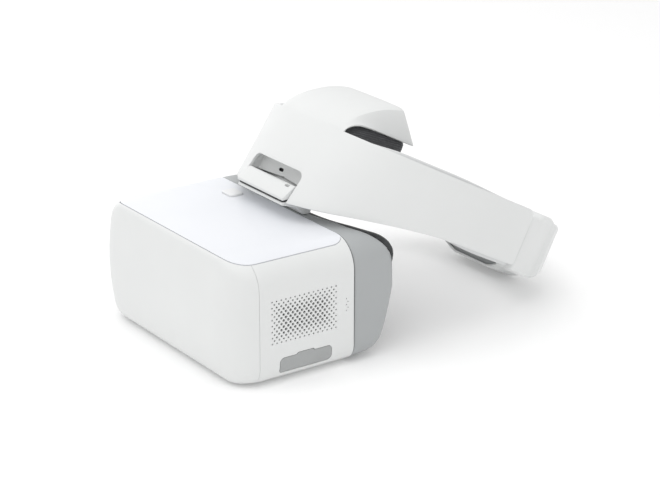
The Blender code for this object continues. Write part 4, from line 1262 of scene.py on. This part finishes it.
# %% Inner wall and pad
wall_rows = []
for turn in rear_turns:
    step = smooth((abs(turn) - CHEEK_TURN + 0.5) / 3.0)
    x, v = rear_plan(turn, 2.2 * step + housing_depth(turn) - 1.4)
    tongue, hidden = tucked(v)
    low = rear_low(rear_plan(turn)[0]) + block_rise(turn) + 1.5 + 1.5 * tongue + 6.0 * hidden
    top = 51.0 + 3.2 * step - 3.5 * tongue - 4.0 * hidden
    wall_rows.append([band(x, v, low + (top - low) * s) for s in (0.0, 0.33, 0.66, 1.0)])
wall = walled(made("housing_wall", laid_grid(wall_rows), FRAME_GREY, 60), 1.2, 0.0)
fitted(wall, "rear_housing", "grey_shell", "rear_inner_wall")

line = []
for turn in spaced(-47.0, 47.0, 28):
    x, v = rear_plan(turn, 27.0)
    angle = math.radians(turn)
    low = max(6.0, rear_low(rear_plan(turn)[0]) + block_rise(turn) + 2.0)
    line.append((x, v, -math.sin(angle), -math.cos(angle), low, 50.0, lambda w: 0.0))
nape = capped(pad_tube("nape_cushion", line, 8.6))


def nape_free(point):
    """Free towards the head, held at the wall."""
    x, v, _ = from_band(point)
    reach = (abs(x) / (BAND_HALF - 27)) ** 3 + (max(0.0, v - MID_V) / (REAR_REACH - 27)) ** 3
    return smooth((1.0 - reach ** (1 / 3)) * 70.0 / 7.0)


filled_out(nape, 2.6, 3.0, 2.0, nape_free)
fitted(nape, "rear_housing", "pad_fabric", "rear_pad")

for side, word in ((1, "left"), (-1, "right")):
    teeth = [(114.0, -17.4), (158.0, -17.4), (158.0, 17.4)]
    for k in range(13):
        v = 156.0 - 3.2 * k
        teeth += [(v, 17.4), (v - 0.8, 15.6), (v - 1.6, 15.6), (v - 2.4, 17.4)]
    teeth.append((114.0, 17.4))
    strap = prism([(v - 136.0, w) for v, w in teeth], 2.6,
                  at_band(side * 91.5, 136.0, 34.5, ON_SIDE))
    strap = softened(made("toothed_strap_" + word, strap, BLACK), 0.25, 2)
    fitted(strap, "rear_housing", "black_plastic", "size_strap_" + word)

# %% [markdown]
# ### Turned controls
# Knobs and buttons are cylinders whose rims are inset and pressed. The ribs on a knob's
# edge come from pushing every other vertex in, and the bevel rounds them over.

# %% Knobs and round buttons
def dished(bm, rings, place):
    """Insets the top face ring by ring, (thickness, depth) for each, and puts the piece in its place."""
    bm.faces.ensure_lookup_table()
    face = max(bm.faces, key=lambda f: f.calc_center_median().z)
    for thickness, drop in rings:
        bmesh.ops.inset_individual(bm, faces=[face], thickness=thickness, depth=drop)
    bmesh.ops.transform(bm, verts=bm.verts, matrix=place)
    return bm


def turned_knob(name, radius, depth, place, ribs, dish):
    """A ribbed knob with a dished face towards the matrix's +Z."""
    bm = bmesh.new()
    bmesh.ops.create_cone(bm, cap_ends=True, segments=ribs * 2, radius1=radius, radius2=radius * 0.97, depth=depth)
    for vert in bm.verts:
        step = round(math.atan2(vert.co.y, vert.co.x) / math.tau * ribs * 2)
        if step % 2:
            vert.co.x *= 0.965
            vert.co.y *= 0.965
    dished(bm, ((radius * 0.14, 0.0), (radius * 0.05, -dish), (radius * 0.5, 0.0)), place)
    return softened(made(name, bm, BLACK, 40), 0.3, 2)


knob = turned_knob("fit_knob", 17.0, 3.0, at_band(0, 226.8, 30.0, FACING_BACK), 30, 0.8)
fitted(knob, "size_knob", "black_plastic", "size_knob")
shaft = cylinder("fit_knob_shaft", 2.4, 14, at_band(0, 218.6, 30.0, FACING_FRONT), 24, STEEL)
fitted(softened(shaft, 0.3, 2), "size_knob", "steel")
eye = turned_knob("spacing_knob", 11.0, 6.0, at_visor(0, 76, 3.7, FACING_DOWN), 24, 0.7)
fitted(eye, "eye_knob", "black_plastic", "eye_knob")


def round_button(name, radius, depth, place, body, node):
    """A small button with a shallow finger dish."""
    bm = bmesh.new()
    bmesh.ops.create_cone(bm, cap_ends=True, segments=36, radius1=radius, radius2=radius, depth=depth)
    dished(bm, ((radius * 0.2, 0.0), (radius * 0.2, -0.2), (radius * 0.3, -0.1)), place)
    fitted(softened(made(name, bm, BLACK, 50), 0.3, 3), body, "black_plastic", node)


for node, x in (("function_button", 26.0), ("back_button", 40.0), ("link_button", 54.0)):
    round_button(node + "_cap", 4.0, 4.6, at_visor(x, 36, 3.1, FACING_DOWN), node, node)
round_button("power_button_cap", 4.0, 5.0, at_band(-46, 203, 53.2), "power_button", "power_button")
lamp_strip = prism(rounded(-8.0, -1.25, 8.0, 1.25, 1.2), 1.8, at_band(-28, 209, 54.0))
fitted(softened(made("charge_lamp", lamp_strip, LENS), 0.2, 2), "rear_housing", "lens_glass", "battery_light")
print("controls done")

# %% [markdown]
# ## Optics seen through the face opening
# Each lens sits in a stepped barrel. The barrel is a profile spun round its axis, with a
# rubber lip at the eye side; the lens is a flattened sphere cut by nothing, as ground
# glass is smooth all over.

# %% Barrels and lenses
BARREL_PROFILE = [(19.6, -12.0), (22.0, -12.0), (22.0, 8.0), (21.4, 8.6), (21.4, 11.4), (20.8, 12.0), (20.2, 12.0),
                  (19.6, 11.2), (19.4, 4.0), (19.4, -12.0)]
for side, word in ((1, "left"), (-1, "right")):
    here = at_visor(side * 32.0, SEAM_Y - 6.0, 50.0, FACING_BACK)
    spun = bmesh.new()
    profile = [spun.verts.new((radius, 0, z)) for radius, z in BARREL_PROFILE]
    edges = [spun.edges.new(pair) for pair in zip(profile, profile[1:])]
    bmesh.ops.spin(spun, geom=profile + edges, cent=(0, 0, 0), axis=(0, 0, 1), angle=math.tau, steps=56,
                   use_merge=True)
    bmesh.ops.transform(spun, verts=spun.verts, matrix=here)
    fitted(made("eye_barrel_" + word, spun, BLACK, 40), word + "_lens", "black_plastic", "lens_barrel_" + word)
    glass = bmesh.new()
    bmesh.ops.create_uvsphere(glass, u_segments=48, v_segments=20, radius=1.0,
                              matrix=here @ Matrix.Translation((0, 0, 4)) @ Matrix.Diagonal((18.9, 18.9, 4.2, 1)))
    fitted(made("eye_lens_" + word, glass, LENS, 60), word + "_lens", "lens_glass", "lens_" + word)
